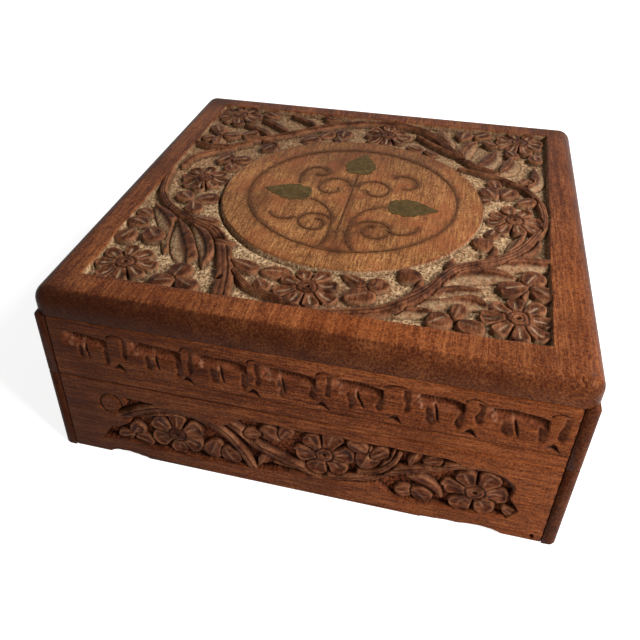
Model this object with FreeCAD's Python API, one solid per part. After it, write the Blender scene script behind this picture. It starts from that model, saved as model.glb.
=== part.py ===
import FreeCAD, Part
import math
import os

# Keepsake box of solid wood. Four boards and a bottom panel make the base. Four strips and a thick top
# slab make the lid, which turns on two brass butt hinges behind. The top has a sunk field with a round
# medallion, vines, leaves and eight flowers left standing in it, and a tree of brass wire and sheet let
# into the medallion. The front and the sides have a sunk field with flowers below and scoops above.
# Millimetres. The origin is on the table under the middle of the box, +Z is up and the front faces -Y.

# Outside of the box
box_width = 203.0
box_depth = 202.0
base_height = 42.0
lid_side_height = 29.0
slab_thickness = 11.0
board_corner_radius = 2.0
slab_corner_radius = 6.5
slab_roundover = 6.0
roundover_limit_share = 0.95

# Boards: the side boards run the full depth and lap over the ends of the front and back boards
side_thickness = 9.0
end_thickness = 9.0
side_lip = 5.0
glue_gap = 0.05

# Bottom panel, let into a rabbet flush with the boards' lower edges
bottom_thickness = 4.0
bottom_rabbet = 4.0

# Nails
nail_radius = 0.7
nail_head_radius = 1.3
nail_head_thickness = 0.6
nail_gap = 0.05
corner_nail_length = 16.0
corner_nail_sink = 0.8
corner_nail_height_shares = (0.3, 0.7)
bottom_nail_length = 12.0
bottom_nail_end_shares = (-0.8, 0.0, 0.8)
bottom_nail_side_shares = (-0.5, 0.5)

# Carved field of the top, which is a little out of square, and the medallion that stands in it
field_margin_left = 14.4
field_margin_right_front = 16.5
field_margin_right_back = 12.5
field_margin_front = 15.6
field_margin_back = 13.5
field_depth = 3.0
medallion_radius = 58.0
medallion_right = 1.5
medallion_forward = 1.6

# Vines and leaves of the top
vine_width = 4.6
blade_width = 4.0
lobe_length = 9.6
lobe_width = 7.4

# Flowers: round petals about a core
top_flower_radius = 11.5
top_petal_count = 8
top_petal_share = 0.30
board_flower_radius = 9.5
board_petal_count = 6
board_petal_share = 0.36
flower_core_share = 0.56

# Sunk field of the base boards and scoops of the lid strips, on the front and both sides
board_field_margin = 17.5
board_field_low = 8.0
board_field_top = 6.5
board_field_depth = 2.5
scoop_count = 7
scoop_row_margin = 9.0
scoop_width = 21.0
scoop_height = 6.0
scoop_top = 6.0
scoop_depth = 2.0

# Brass let into the medallion
inlay_thickness = 1.2
inlay_gap = 0.04
wire_width = 0.8
ring_margin = 11.5
ring_right = 0.7
ring_back = 1.4
leaf_length_share = 0.467

# Butt hinges
hinge_inset = 28.5
hinge_length = 28.0
hinge_leaf_width = 7.5
hinge_leaf_thickness = 1.0
hinge_leaf_relief = 0.1
mortise_gap = 0.05
barrel_radius = 2.1
barrel_gap = 0.4
knuckle_gap = 0.3
pin_radius = 1.0
pin_gap = 0.05
pin_reach = 0.5
screw_radius = 0.9
screw_head_radius = 1.7
screw_head_depth = 0.8
screw_length = 9.0
screw_gap = 0.05
screw_slot_width = 0.5
screw_slot_depth = 0.35
screw_spread_share = 0.62

# How far a cutting shape runs past the face that it opens
overrun = 1.0

# Places that follow from the sizes above
half_width = box_width / 2
half_depth = box_depth / 2
slab_bottom = base_height + lid_side_height
box_height = slab_bottom + slab_thickness
panel_half_x = half_width - side_thickness + bottom_rabbet - glue_gap
panel_half_y = half_depth - end_thickness + bottom_rabbet - glue_gap
hinge_axis_y = half_depth + barrel_gap + barrel_radius
hinge_reach = half_width - hinge_inset - hinge_length / 2
hinge_places = {"left": -hinge_reach, "right": hinge_reach}
medallion_y = -medallion_forward
ring_radius = medallion_radius - ring_margin
ring_x = medallion_right + ring_right
ring_y = medallion_y + ring_back
leaf_length = leaf_length_share * ring_radius

# Flowers of the top: places in shares of half the width and half the depth
top_flower_shares = (
    (-0.732, -0.731), (-0.018, -0.711), (0.725, -0.716), (0.714, -0.044),
    (-0.676, 0.009), (-0.741, 0.763), (0.084, 0.688), (0.742, 0.753),
)

# Vines of the top: points along each, in shares of half the width and half the depth
vine_shares = (
    ((0.030, -0.870), (0.250, -0.795), (0.410, -0.630), (0.500, -0.460), (0.660, -0.350),
     (0.800, -0.150), (0.825, 0.130), (0.670, 0.330), (0.470, 0.390)),
    ((-0.860, 0.050), (-0.805, -0.175), (-0.645, -0.340), (-0.475, -0.420), (-0.370, -0.620),
     (-0.310, -0.850)),
    ((-0.600, 0.450), (-0.390, 0.600), (-0.185, 0.765), (0.075, 0.840), (0.315, 0.735),
     (0.450, 0.530), (0.630, 0.380)),
    ((-0.850, 0.370), (-0.740, 0.355), (-0.660, 0.375), (-0.585, 0.430)),
    ((-0.310, -0.670), (-0.240, -0.755), (-0.130, -0.800), (-0.025, -0.845)),
)

# Long leaves of the top: both ends in the same shares, and how far the leaf bows to the left of its run,
# as a share of its length
blade_shares = (
    ((0.467, -0.564), (0.708, -0.473), 0.19), ((0.610, -0.398), (0.847, -0.344), 0.04),
    ((0.343, -0.741), (0.629, -0.671), 0.15), ((0.382, -0.683), (0.604, -0.611), 0.08),
    ((-0.796, -0.287), (-0.630, -0.608), 0.11), ((-0.653, -0.382), (-0.511, -0.657), 0.00),
    ((-0.584, -0.397), (-0.442, -0.657), 0.09), ((-0.505, 0.529), (-0.671, 0.649), -0.17),
    ((-0.412, 0.598), (-0.601, 0.739), -0.11), ((-0.283, 0.703), (-0.462, 0.829), -0.11),
    ((0.403, 0.607), (0.350, 0.827), -0.03), ((0.482, 0.498), (0.533, 0.717), 0.09),
    ((0.550, 0.428), (0.632, 0.626), -0.10), ((0.648, 0.388), (0.711, 0.586), -0.10),
    ((0.767, 0.258), (0.809, 0.487), -0.14), ((-0.702, 0.320), (-0.742, 0.559), 0.13),
)

# Round lobes of the top's leaves and buds: place in the same shares, and heading in degrees
lobe_shares = (
    ((0.709, -0.533), 205), ((0.779, -0.460), 62), ((0.811, -0.537), 318), ((0.463, -0.788), 40),
    ((0.526, -0.726), 78), ((0.576, -0.803), 340), ((0.175, -0.711), 30), ((0.231, -0.636), 60),
    ((0.336, -0.550), 60), ((0.594, -0.256), 100), ((-0.702, -0.168), 140), ((-0.596, -0.168), 30),
    ((-0.631, -0.254), 290), ((-0.811, -0.425), 160), ((-0.714, -0.506), 310), ((-0.817, -0.535), 250),
    ((-0.509, -0.729), 80), ((-0.555, -0.801), 200), ((-0.456, -0.803), 330), ((-0.284, -0.625), 338),
    ((-0.160, -0.641), 8), ((-0.475, 0.394), 60), ((-0.647, 0.231), 60), ((-0.568, 0.237), 20),
    ((-0.594, 0.151), 300), ((-0.702, 0.504), 200), ((-0.800, 0.567), 120), ((-0.615, 0.544), 40),
    ((-0.291, 0.547), 40), ((-0.139, 0.650), 90), ((0.237, 0.568), 330), ((0.464, 0.783), 80),
    ((0.555, 0.803), 40), ((0.704, 0.617), 300), ((0.813, 0.591), 280), ((0.612, 0.184), 120),
    ((0.689, 0.199), 60), ((0.628, 0.269), 100), ((0.765, 0.136), 30),
)

# Flowers of a base board: places in shares of half the field's length and of the base's height
board_flower_shares = ((-0.583, 0.430), (0.143, 0.560), (0.827, 0.465))

# A scoop's outline: shares of its width, from its middle, and of its height, from its lower edge
scoop_outline_shares = (
    (-0.50, 1.0), (0.50, 1.0), (0.42, 0.0), (0.09, 0.0), (0.0, -0.9), (-0.09, 0.0), (-0.42, 0.0),
)

# The tree's wires. Each starts at a point in the ring, in shares of the ring's radius, heads along an
# angle in degrees and then runs on as arcs: a radius share and a turn, left turns positive. A turn of
# zero is a straight run of that share.
trunk_shares = (
    ((-0.133, -0.968), 68, ((0.688, 26), (0.125, 0), (0.450, 64))),
    ((0.172, -0.960), 126, ((0.525, -38), (0.113, 0), (0.419, -66))),
    ((-0.015, -0.708), 90, ((1.137, 0),)),
)
scroll_shares = (
    ((-0.045, 0.167), 92, ((0.144, 118), (0.188, 76), (0.106, 120), (0.062, 90))),
    ((0.015, 0.180), 86, ((0.163, -128), (0.156, -96), (0.094, -136))),
    ((-0.553, 0.130), 100, ((0.875, -18), (0.125, -150), (0.069, -150))),
    ((0.454, 0.236), -4, ((0.131, 96), (0.144, 110), (0.075, 60))),
    ((-0.128, -0.473), 128, ((0.150, 120), (0.144, 100), (0.106, 130), (0.069, 90))),
    ((0.100, -0.570), 70, ((0.200, -84), (0.144, -130), (0.119, -120), (0.085, -110))),
    ((-0.434, -0.514), 238, ((0.144, -128),)),
    ((0.404, -0.558), -46, ((0.163, 140),)),
)

# The tree's leaves: place of the stalk end in shares of the ring's radius, and heading in degrees
leaf_shares = (
    ("left", (-0.393, -0.070), 178),
    ("top", (-0.023, 0.449), 90),
    ("right", (0.365, -0.126), 2),
)

# Half of a leaf's toothed outline: shares of its length, along the leaf and out from its middle
leaf_outline_shares = (
    (0.00, 0.05), (0.03, 0.20), (0.14, 0.30), (0.20, 0.27), (0.36, 0.36), (0.42, 0.32),
    (0.56, 0.31), (0.62, 0.25), (0.76, 0.19), (0.80, 0.14), (0.92, 0.07), (1.00, 0.02),
)


def vector(x, y, z):
    return FreeCAD.Vector(x, y, z)


origin = vector(0, 0, 0)
along_x = vector(1, 0, 0)
along_y = vector(0, 1, 0)
upward = vector(0, 0, 1)


def block(x0, x1, y0, y1, z0, z1):
    """A box between two opposite corners, given in any order."""
    low = [min(pair) for pair in ((x0, x1), (y0, y1), (z0, z1))]
    high = [max(pair) for pair in ((x0, x1), (y0, y1), (z0, z1))]
    size = [h - l for l, h in zip(low, high)]
    return Part.makeBox(size[0], size[1], size[2], vector(*low))


def cut_all(shape, tools):
    """The shape with every tool taken out of it."""
    return shape.cut(Part.makeCompound(list(tools)))


def save(name, solids):
    """Writes one node: a single solid, or a group of alike solids."""
    group = solids[0] if len(solids) == 1 else Part.makeCompound(list(solids))
    group.exportStep(os.path.join("parts", name + ".step"))


def rounded_prism(z0, z1, radius):
    """The box's outline in plan, with its upright corners rounded, between two heights."""
    prism = block(-half_width, half_width, -half_depth, half_depth, z0, z1)
    uprights = [edge for edge in prism.Edges if abs(edge.tangentAt(edge.FirstParameter).z) > 0.5]
    return prism.makeFillet(radius, uprights)


def side_board(side, z0, z1):
    """A left (-1) or right (+1) board, rabbeted at both ends for the front and back boards."""
    inner = side * (half_width - side_thickness)
    board = block(side * half_width, inner, -half_depth, half_depth, z0, z1)
    for end in (-1, 1):
        shoulder = end * (half_depth - end_thickness - glue_gap)
        rabbet = block(inner - side * overrun, side * (half_width - side_lip),
                       shoulder, end * (half_depth + overrun), z0 - overrun, z1 + overrun)
        board = board.cut(rabbet)
    return board.common(rounded_prism(z0, z1, board_corner_radius))


def end_board(end, z0, z1):
    """The front (-1) or back (+1) board, which stands between the side boards' lips."""
    reach = half_width - side_lip - glue_gap
    board = block(-reach, reach, end * half_depth, end * (half_depth - end_thickness), z0, z1)
    return board.common(rounded_prism(z0, z1, board_corner_radius))


def board_ring(z0, z1):
    """The four boards of one storey of the box."""
    return {
        "front": end_board(-1, z0, z1),
        "back": end_board(1, z0, z1),
        "left": side_board(-1, z0, z1),
        "right": side_board(1, z0, z1),
    }


def nail(head_face, direction, length, gap, sink):
    """A flat-headed nail, or with a gap the hole that it sits in, open to the face above its head."""
    start = head_face - direction * sink
    head = Part.makeCylinder(nail_head_radius + gap, nail_head_thickness + sink + gap, start, direction)
    shank = Part.makeCylinder(nail_radius + gap, length + sink + gap, start, direction)
    return head.fuse(shank)


def corner_nail_places(z0, z1):
    """Head places and directions of the nails through the side boards into the front and back boards."""
    places = []
    for side in (-1, 1):
        for end in (-1, 1):
            for share in corner_nail_height_shares:
                head = vector(side * (half_width - corner_nail_sink),
                              end * (half_depth - end_thickness / 2), z0 + share * (z1 - z0))
                places.append((head, along_x * -side))
    return places


def bottom_nail_places():
    """Head places of the nails through the bottom panel into the boards above its rim."""
    row_y = panel_half_y - bottom_rabbet / 2
    row_x = panel_half_x - bottom_rabbet / 2
    places = []
    for end in (-1, 1):
        for share in bottom_nail_end_shares:
            places.append(vector(share * panel_half_x, end * row_y, 0))
        for share in bottom_nail_side_shares:
            places.append(vector(end * row_x, share * panel_half_y, 0))
    return places


def screw(head_face, direction, gap):
    """A countersunk screw, or with a gap the hole that it sits in."""
    cone = Part.makeCone(screw_head_radius + gap, screw_radius + gap, screw_head_depth, head_face, direction)
    shank = Part.makeCylinder(screw_radius + gap, screw_length + gap, head_face, direction)
    body = cone.fuse(shank)
    if gap:
        return body
    slot = block(-screw_head_radius, screw_head_radius, -screw_slot_width / 2, screw_slot_width / 2,
                 -screw_slot_depth, screw_slot_depth)
    slot.translate(head_face)
    return body.cut(slot)


def leaf_face(half):
    """Height of the face of a hinge leaf that meets the other leaf: below (-1) or above (+1) the seam."""
    return base_height + half * hinge_leaf_relief


def screw_places(centre_x, half):
    """Head places and the direction of one leaf's screws."""
    reach = screw_spread_share * hinge_length / 2
    row_y = half_depth - hinge_leaf_width / 2
    heads = [vector(centre_x + x, row_y, leaf_face(half)) for x in (-reach, reach)]
    return [(head, upward * half) for head in heads]


def knuckle_spans(half):
    """The base leaf (-1) has the two outer knuckles of the three, the lid leaf (+1) the middle one."""
    third = hinge_length / 6
    room = knuckle_gap / 2
    if half > 0:
        return [(-third + room, third - room)]
    return [(-hinge_length / 2, -third - room), (third + room, hinge_length / 2)]


def hinge_leaf(centre_x, half):
    """One leaf of a butt hinge with its knuckles, bored for the pin and countersunk for the screws."""
    face = leaf_face(half)
    back = face + half * hinge_leaf_thickness
    leaf = block(centre_x - hinge_length / 2, centre_x + hinge_length / 2,
                 half_depth - hinge_leaf_width, half_depth, face, back)
    for start, end in knuckle_spans(half):
        strap = block(centre_x + start, centre_x + end, half_depth, hinge_axis_y, face, back)
        place = vector(centre_x + start, hinge_axis_y, base_height)
        leaf = leaf.fuse(strap).fuse(Part.makeCylinder(barrel_radius, end - start, place, along_x))
    bore_start = vector(centre_x - hinge_length / 2 - overrun, hinge_axis_y, base_height)
    bore = Part.makeCylinder(pin_radius + pin_gap, hinge_length + 2 * overrun, bore_start, along_x)
    holes = [screw(head, way, screw_gap) for head, way in screw_places(centre_x, half)]
    return cut_all(leaf.removeSplitter(), [bore] + holes)


def hinge_pin(centre_x):
    """The pin through a hinge's three knuckles."""
    start = vector(centre_x - hinge_length / 2 - pin_reach, hinge_axis_y, base_height)
    return Part.makeCylinder(pin_radius, hinge_length + 2 * pin_reach, start, along_x)


def hinge_seats(half):
    """The mortises and screw holes that the hinges need in the back board (-1) or back strip (+1)."""
    seats = []
    for centre_x in hinge_places.values():
        reach = hinge_length / 2 + mortise_gap
        floor = leaf_face(half) + half * (hinge_leaf_thickness + mortise_gap)
        seats.append(block(centre_x - reach, centre_x + reach,
                           half_depth - hinge_leaf_width - mortise_gap, half_depth + overrun,
                           base_height - half * overrun, floor))
        seats += [screw(head, way, screw_gap) for head, way in screw_places(centre_x, half)]
    return seats


def flower(radius, petal_count, petal_share, height):
    """A flower standing on its ground at the origin, facing up."""
    core = Part.makeCylinder(radius * flower_core_share, height)
    reach = radius * (1 - petal_share)
    petals = []
    for number in range(petal_count):
        angle = 2 * math.pi * number / petal_count
        place = vector(reach * math.cos(angle), reach * math.sin(angle), 0)
        petals.append(Part.makeCylinder(radius * petal_share, height, place))
    return core.multiFuse(petals).removeSplitter()


def board_carving(half_length):
    """What is cut from a base board: its field, less the flowers. The board's face is at y = 0."""
    field = block(-half_length, half_length, -overrun, board_field_depth,
                  board_field_low, base_height - board_field_top)
    blooms = []
    for along, up in board_flower_shares:
        bloom = flower(board_flower_radius, board_petal_count, board_petal_share, board_field_depth + overrun)
        bloom.rotate(origin, along_x, 90)
        bloom.translate(vector(along * half_length, board_field_depth, up * base_height))
        blooms.append(bloom)
    return cut_all(field, blooms)


def strip_carving(half_length):
    """What is cut from a lid strip: its row of scoops. The strip's face is at y = 0."""
    pitch = 2 * half_length / scoop_count
    low = slab_bottom - scoop_top - scoop_height
    scoops = []
    for number in range(scoop_count):
        middle = (number + 0.5) * pitch - half_length
        points = [vector(middle + across * scoop_width, -overrun, low + up * scoop_height)
                  for across, up in scoop_outline_shares]
        outline = Part.makePolygon(points + [points[0]])
        scoops.append(Part.Face(outline).extrude(along_y * (scoop_depth + overrun)))
    return Part.makeCompound(scoops)


def on_face(name, carving, margin):
    """A carving set into the front, left or right face, as long as that face less a margin at each end."""
    turn, reach, half_run = {
        "front": (0, half_depth, half_width),
        "left": (-90, half_width, half_depth),
        "right": (90, half_width, half_depth),
    }[name]
    cutter = carving(half_run - margin)
    cutter.translate(along_y * -reach)
    cutter.rotate(origin, upward, turn)
    return cutter


def wire_outline(start, heading, runs, half_strip, lead):
    """Closed outline of a flat wire that follows straight runs and arcs, longer by the lead at each end."""
    angle = math.radians(heading)
    place = vector(ring_x + start[0] * ring_radius, ring_y + start[1] * ring_radius, 0)
    place = place - vector(math.cos(angle), math.sin(angle), 0) * lead
    pieces = [(lead, 0)] + [(size * ring_radius, turn) for size, turn in runs] + [(lead, 0)]
    left_edges = []
    right_edges = []
    for size, turn in pieces:
        if size == 0:
            continue
        stations = walk(place, angle, size, turn)
        for edges, side in ((left_edges, 1), (right_edges, -1)):
            points = [p + vector(-math.sin(a), math.cos(a), 0) * side * half_strip for p, a in stations]
            curve = Part.Arc(*points) if turn else Part.LineSegment(points[0], points[2])
            edges.append(curve.toShape())
        place, angle = stations[2]
    caps = [Part.LineSegment(left[index].Point, right[index].Point).toShape()
            for left, right, index in ((left_edges[0].Vertexes, right_edges[0].Vertexes, 0),
                                       (left_edges[-1].Vertexes, right_edges[-1].Vertexes, -1))]
    return Part.Wire(Part.__sortEdges__(left_edges + right_edges + caps))


def walk(place, angle, size, turn):
    """Start, middle and end of a straight run or an arc: each a place with its heading."""
    stations = []
    for share in (0.0, 0.5, 1.0):
        swing = math.radians(turn) * share
        if turn == 0:
            step = vector(math.cos(angle), math.sin(angle), 0) * size * share
        else:
            side = math.copysign(1, turn)
            step = vector(math.sin(angle + swing) - math.sin(angle),
                          math.cos(angle) - math.cos(angle + swing), 0) * size * side
        stations.append((place + step, angle + swing))
    return stations


def raise_inlay(outline, gap):
    """An outline made into brass flush with the top, or with a gap into the groove that holds it."""
    plate = Part.Face(outline)
    plate.translate(vector(0, 0, box_height - inlay_thickness - gap))
    return plate.extrude(upward * (inlay_thickness + gap + (overrun if gap else 0)))


def wires(shares, gap):
    """Flat wires along the given paths, or with a gap their grooves."""
    return [raise_inlay(wire_outline(start, heading, runs, wire_width / 2 + gap, gap), gap)
            for start, heading, runs in shares]


def leaf_plate(stalk, heading, gap):
    """A toothed brass leaf, or with a gap the pocket that holds it."""
    side_points = [vector(along * leaf_length, out * leaf_length, 0) for along, out in leaf_outline_shares]
    other_points = [vector(p.x, -p.y, 0) for p in reversed(side_points)]
    outline = Part.makePolygon(side_points + other_points + [side_points[0]])
    if gap:
        outline = outline.makeOffset2D(gap, 2)
    outline.rotate(origin, upward, heading)
    outline.translate(vector(ring_x + stalk[0] * ring_radius, ring_y + stalk[1] * ring_radius, 0))
    return raise_inlay(outline, gap)


def ring(gap):
    """The wire ring round the tree, or with a gap its groove."""
    low = box_height - inlay_thickness - gap
    height = inlay_thickness + gap + (overrun if gap else 0)
    centre = vector(ring_x, ring_y, low)
    outer = Part.makeCylinder(ring_radius + wire_width / 2 + gap, height, centre)
    inner = Part.makeCylinder(ring_radius - wire_width / 2 - gap, height, centre)
    return outer.cut(inner)


def inlays(gap):
    """Every inlay of the medallion by node name, or with a gap the grooves that hold them."""
    nodes = {"inlay_ring": [ring(gap)]}
    for name, stalk, heading in leaf_shares:
        nodes["inlay_leaf_" + name] = [leaf_plate(stalk, heading, gap)]
    nodes["inlay_trunk_wires"] = wires(trunk_shares, gap)
    nodes["inlay_scroll_wires"] = wires(scroll_shares, gap)
    return nodes


def on_top(shares):
    """A place on the floor of the top's field, from shares of half the width and half the depth."""
    return vector(shares[0] * half_width, shares[1] * half_depth, box_height - field_depth)


def quarter_turn(way):
    """A flat direction turned a quarter to the left, with a length of one."""
    return vector(-way.y, way.x, 0).normalize()


def vine(shares):
    """Outline of a vine: a smooth line on each side of its points."""
    points = [on_top(place) for place in shares]
    before = [points[0]] + points[:-1]
    after = points[1:] + [points[-1]]
    sides = []
    for half in (vine_width / 2, -vine_width / 2):
        edge_points = [p + quarter_turn(b - a) * half for a, p, b in zip(before, points, after)]
        curve = Part.BSplineCurve()
        curve.interpolate(edge_points)
        sides.append(curve.toShape())
    left, right = (side.Vertexes for side in sides)
    ends = [Part.makeLine(left[index].Point, right[index].Point) for index in (0, -1)]
    return sides + ends


def blade(start_shares, end_shares, bow_share):
    """Outline of a long leaf: two arcs between its ends."""
    start = on_top(start_shares)
    end = on_top(end_shares)
    side = quarter_turn(end - start)
    middle = (start + end) * 0.5 + side * (bow_share * (end - start).Length)
    halves = (blade_width / 2, -blade_width / 2)
    return [Part.Arc(start, middle + side * half, end).toShape() for half in halves]


def lobe(shares, heading):
    """Outline of a round lobe of a leaf, or of a bud."""
    oval = Part.Ellipse(origin, lobe_length / 2, lobe_width / 2).toShape()
    oval.rotate(origin, upward, heading)
    oval.translate(on_top(shares))
    return [oval]


def top_carving():
    """What is cut from the top: its field, less all that stands in it."""
    left = -half_width + field_margin_left
    front = -half_depth + field_margin_front
    back = half_depth - field_margin_back
    corners = [(left, front), (half_width - field_margin_right_front, front),
               (half_width - field_margin_right_back, back), (left, back)]
    floor = box_height - field_depth
    points = [vector(x, y, floor) for x, y in corners]
    rise = field_depth + overrun
    field = Part.Face(Part.makePolygon(points + [points[0]])).extrude(upward * rise)
    standing = [Part.makeCylinder(medallion_radius, rise, vector(medallion_right, medallion_y, floor))]
    for shares in top_flower_shares:
        bloom = flower(top_flower_radius, top_petal_count, top_petal_share, rise)
        bloom.translate(on_top(shares))
        standing.append(bloom)
    outlines = [vine(shares) for shares in vine_shares]
    outlines += [blade(*shares) for shares in blade_shares]
    outlines += [lobe(*shares) for shares in lobe_shares]
    for edges in outlines:
        face = Part.Face(Part.Wire(Part.__sortEdges__(edges)))
        standing.append(face.extrude(upward * rise))
    for shape in standing:
        field = field.cut(shape)
    return field


def top_slab():
    """The lid's top: rounded over, with its carving and the grooves for the brass."""
    slab = rounded_prism(slab_bottom, box_height, slab_corner_radius)
    rim = [edge for edge in slab.Edges if min(v.Z for v in edge.Vertexes) > slab_bottom + slab_thickness / 2]
    slab = slab.makeFillet(min(slab_roundover, slab_corner_radius * roundover_limit_share), rim)
    grooves = [groove for group in inlays(inlay_gap).values() for groove in group]
    return cut_all(slab.cut(top_carving()), grooves)


def build_base():
    """The base's boards, bottom panel and nails."""
    boards = board_ring(0, base_height)
    seat = block(-panel_half_x - glue_gap, panel_half_x + glue_gap, -panel_half_y - glue_gap,
                 panel_half_y + glue_gap, -overrun, bottom_thickness + glue_gap)
    corners = corner_nail_places(0, base_height)
    feet = bottom_nail_places()
    corner_holes = [nail(head, way, corner_nail_length, nail_gap, corner_nail_sink) for head, way in corners]
    bottom_holes = [nail(head, upward, bottom_nail_length, nail_gap, overrun) for head in feet]
    for name, board in boards.items():
        if name == "back":
            carved = cut_all(board, hinge_seats(-1))
        else:
            carved = board.cut(on_face(name, board_carving, board_field_margin))
        save("base_%s_board" % name, [cut_all(carved, [seat] + corner_holes + bottom_holes)])
    panel = block(-panel_half_x, panel_half_x, -panel_half_y, panel_half_y, 0, bottom_thickness)
    save("base_bottom_panel", [cut_all(panel, bottom_holes)])
    save("base_corner_nails", [nail(head, way, corner_nail_length, 0, 0) for head, way in corners])
    save("base_bottom_nails", [nail(head, upward, bottom_nail_length, 0, 0) for head in feet])


def build_lid():
    """The lid's strips, nails and top slab, and the brass let into the top."""
    corners = corner_nail_places(base_height, slab_bottom)
    holes = [nail(head, way, corner_nail_length, nail_gap, corner_nail_sink) for head, way in corners]
    for name, strip in board_ring(base_height, slab_bottom).items():
        if name == "back":
            carved = cut_all(strip, hinge_seats(1))
        else:
            carved = strip.cut(on_face(name, strip_carving, scoop_row_margin))
        save("lid_%s_strip" % name, [cut_all(carved, holes)])
    save("lid_corner_nails", [nail(head, way, corner_nail_length, 0, 0) for head, way in corners])
    save("lid_top_slab", [top_slab()])
    for name, solids in inlays(0).items():
        save(name, solids)


def build_hinges():
    """Both butt hinges with their pins and screws."""
    for name, centre_x in hinge_places.items():
        save("hinge_%s_base_leaf" % name, [hinge_leaf(centre_x, -1)])
        save("hinge_%s_lid_leaf" % name, [hinge_leaf(centre_x, 1)])
        save("hinge_%s_pin" % name, [hinge_pin(centre_x)])
    for storey, half in (("base", -1), ("lid", 1)):
        places = [place for centre_x in hinge_places.values() for place in screw_places(centre_x, half)]
        save("hinge_%s_screws" % storey, [screw(head, way, 0) for head, way in places])


os.makedirs("parts", exist_ok=True)
build_base()
build_lid()
build_hinges()
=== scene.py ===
import math
import bmesh
import bpy
import numpy as np
from mathutils import Matrix, Vector


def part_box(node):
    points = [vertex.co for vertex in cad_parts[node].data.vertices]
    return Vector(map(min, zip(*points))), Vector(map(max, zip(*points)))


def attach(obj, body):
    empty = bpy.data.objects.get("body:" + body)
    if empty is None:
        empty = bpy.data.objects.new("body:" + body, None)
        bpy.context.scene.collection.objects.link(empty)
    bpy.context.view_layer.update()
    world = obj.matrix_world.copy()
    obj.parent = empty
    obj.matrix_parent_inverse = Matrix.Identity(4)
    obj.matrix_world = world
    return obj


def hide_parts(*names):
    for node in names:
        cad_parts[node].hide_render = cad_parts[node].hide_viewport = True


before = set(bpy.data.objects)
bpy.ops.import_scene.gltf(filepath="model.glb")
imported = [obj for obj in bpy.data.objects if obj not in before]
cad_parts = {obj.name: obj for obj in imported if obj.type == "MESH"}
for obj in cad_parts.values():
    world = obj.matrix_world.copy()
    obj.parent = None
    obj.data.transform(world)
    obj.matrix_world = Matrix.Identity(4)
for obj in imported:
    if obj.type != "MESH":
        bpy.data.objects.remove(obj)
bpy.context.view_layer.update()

# Looks of a carved wooden keepsake box. The carving is worked out as heights over each face, in
# millimetres, and becomes the faces of the boards. The pieces are made in metres, in the solids' frame.
mm = 0.001

# Sizes read from the solids, in millimetres
slab_low, slab_high = (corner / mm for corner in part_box("lid_top_slab"))
base_low, base_high = (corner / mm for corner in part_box("base_front_board"))
lid_low, lid_high = (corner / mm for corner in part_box("lid_front_strip"))
side_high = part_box("base_right_board")[1] / mm
panel_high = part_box("base_bottom_panel")[1] / mm
half_width = slab_high.x
half_depth = slab_high.y
front_reach = base_high.x
side_reach = side_high.y
board_thickness = base_high.y - base_low.y

# Sizes of the solids that no box gives
slab_corner = 6.5
board_corner = 2.0
roundover = 6.0
side_lip = 5.0
fit_gap = 0.05
nail_radius = 1.35
nail_floor = 0.82
nail_height_shares = (0.3, 0.7)

# Cell sizes of the height fields, and how many triangles the top keeps
top_step = 0.36
board_step = 0.34
top_triangles = 194000

# Carving
field_left = -87.1
field_right_front = 85.0
field_right_back = 89.0
field_front = -85.4
field_back = 87.5
field_depth = 2.9
field_depth_by_medallion = 1.9
medallion_radius = 58.0
medallion_x = 1.5
medallion_y = -1.6
medallion_drop = 0.1
flat_unevenness = 0.02
blade_widening = 1.3
stem_widening = 0.8
wall_slope = 5.0
trench_width = 0.5
trench_depth = 1.3
board_depth = 2.8
eased_edge = 0.45

# Cuts of the flowers and leaves
petal_cup = 0.95
petal_gap = 2.6
petal_tilt = 0.45
petal_droop = 0.35
petal_vein = 0.35
vein_half_width = 0.6
vein_paleness = 1.1
boss_groove = 0.7
boss_dome = 0.2
boss_ring = 0.4
flower_hole = 1.4
lobe_cup = 0.6
lobe_droop = 0.5
lobe_paleness = 1.7
bud_droop = 1.0
knife_depth = 0.14
fine_knife_depth = 0.08
ground_unevenness = 0.15

# How far below the smoothed face a hollow darkens with dirt and painted shade, and how far above it an edge
# lightens with wear and painted highlights
broad_cavity = 1.1
narrow_cavity = 0.36
edge_wear_and_highlight = 0.28

# The field of the top is a little out of square: what is carved in it drifts to the right, most of all
# at the right back corner, and toward the front in the middle
drift_right = 0.65
drift_corner = 2.1
drift_front = 0.8

# Flowers of the top: place, radius, turn in degrees and height below the frame
top_flowers = (
    (-75.0, -73.5, 12.4, 8, 0.1), (-2.5, -71.5, 12.2, 20, 0.5), (73.0, -72.0, 12.4, 5, 0.1),
    (71.0, -3.5, 11.8, 14, 0.2), (-69.4, 1.7, 11.4, 0, 0.3), (-76.0, 77.4, 12.0, 12, 0.2),
    (6.8, 70.0, 12.0, 3, 0.3), (72.8, 76.6, 12.0, 18, 0.1),
)

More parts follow.
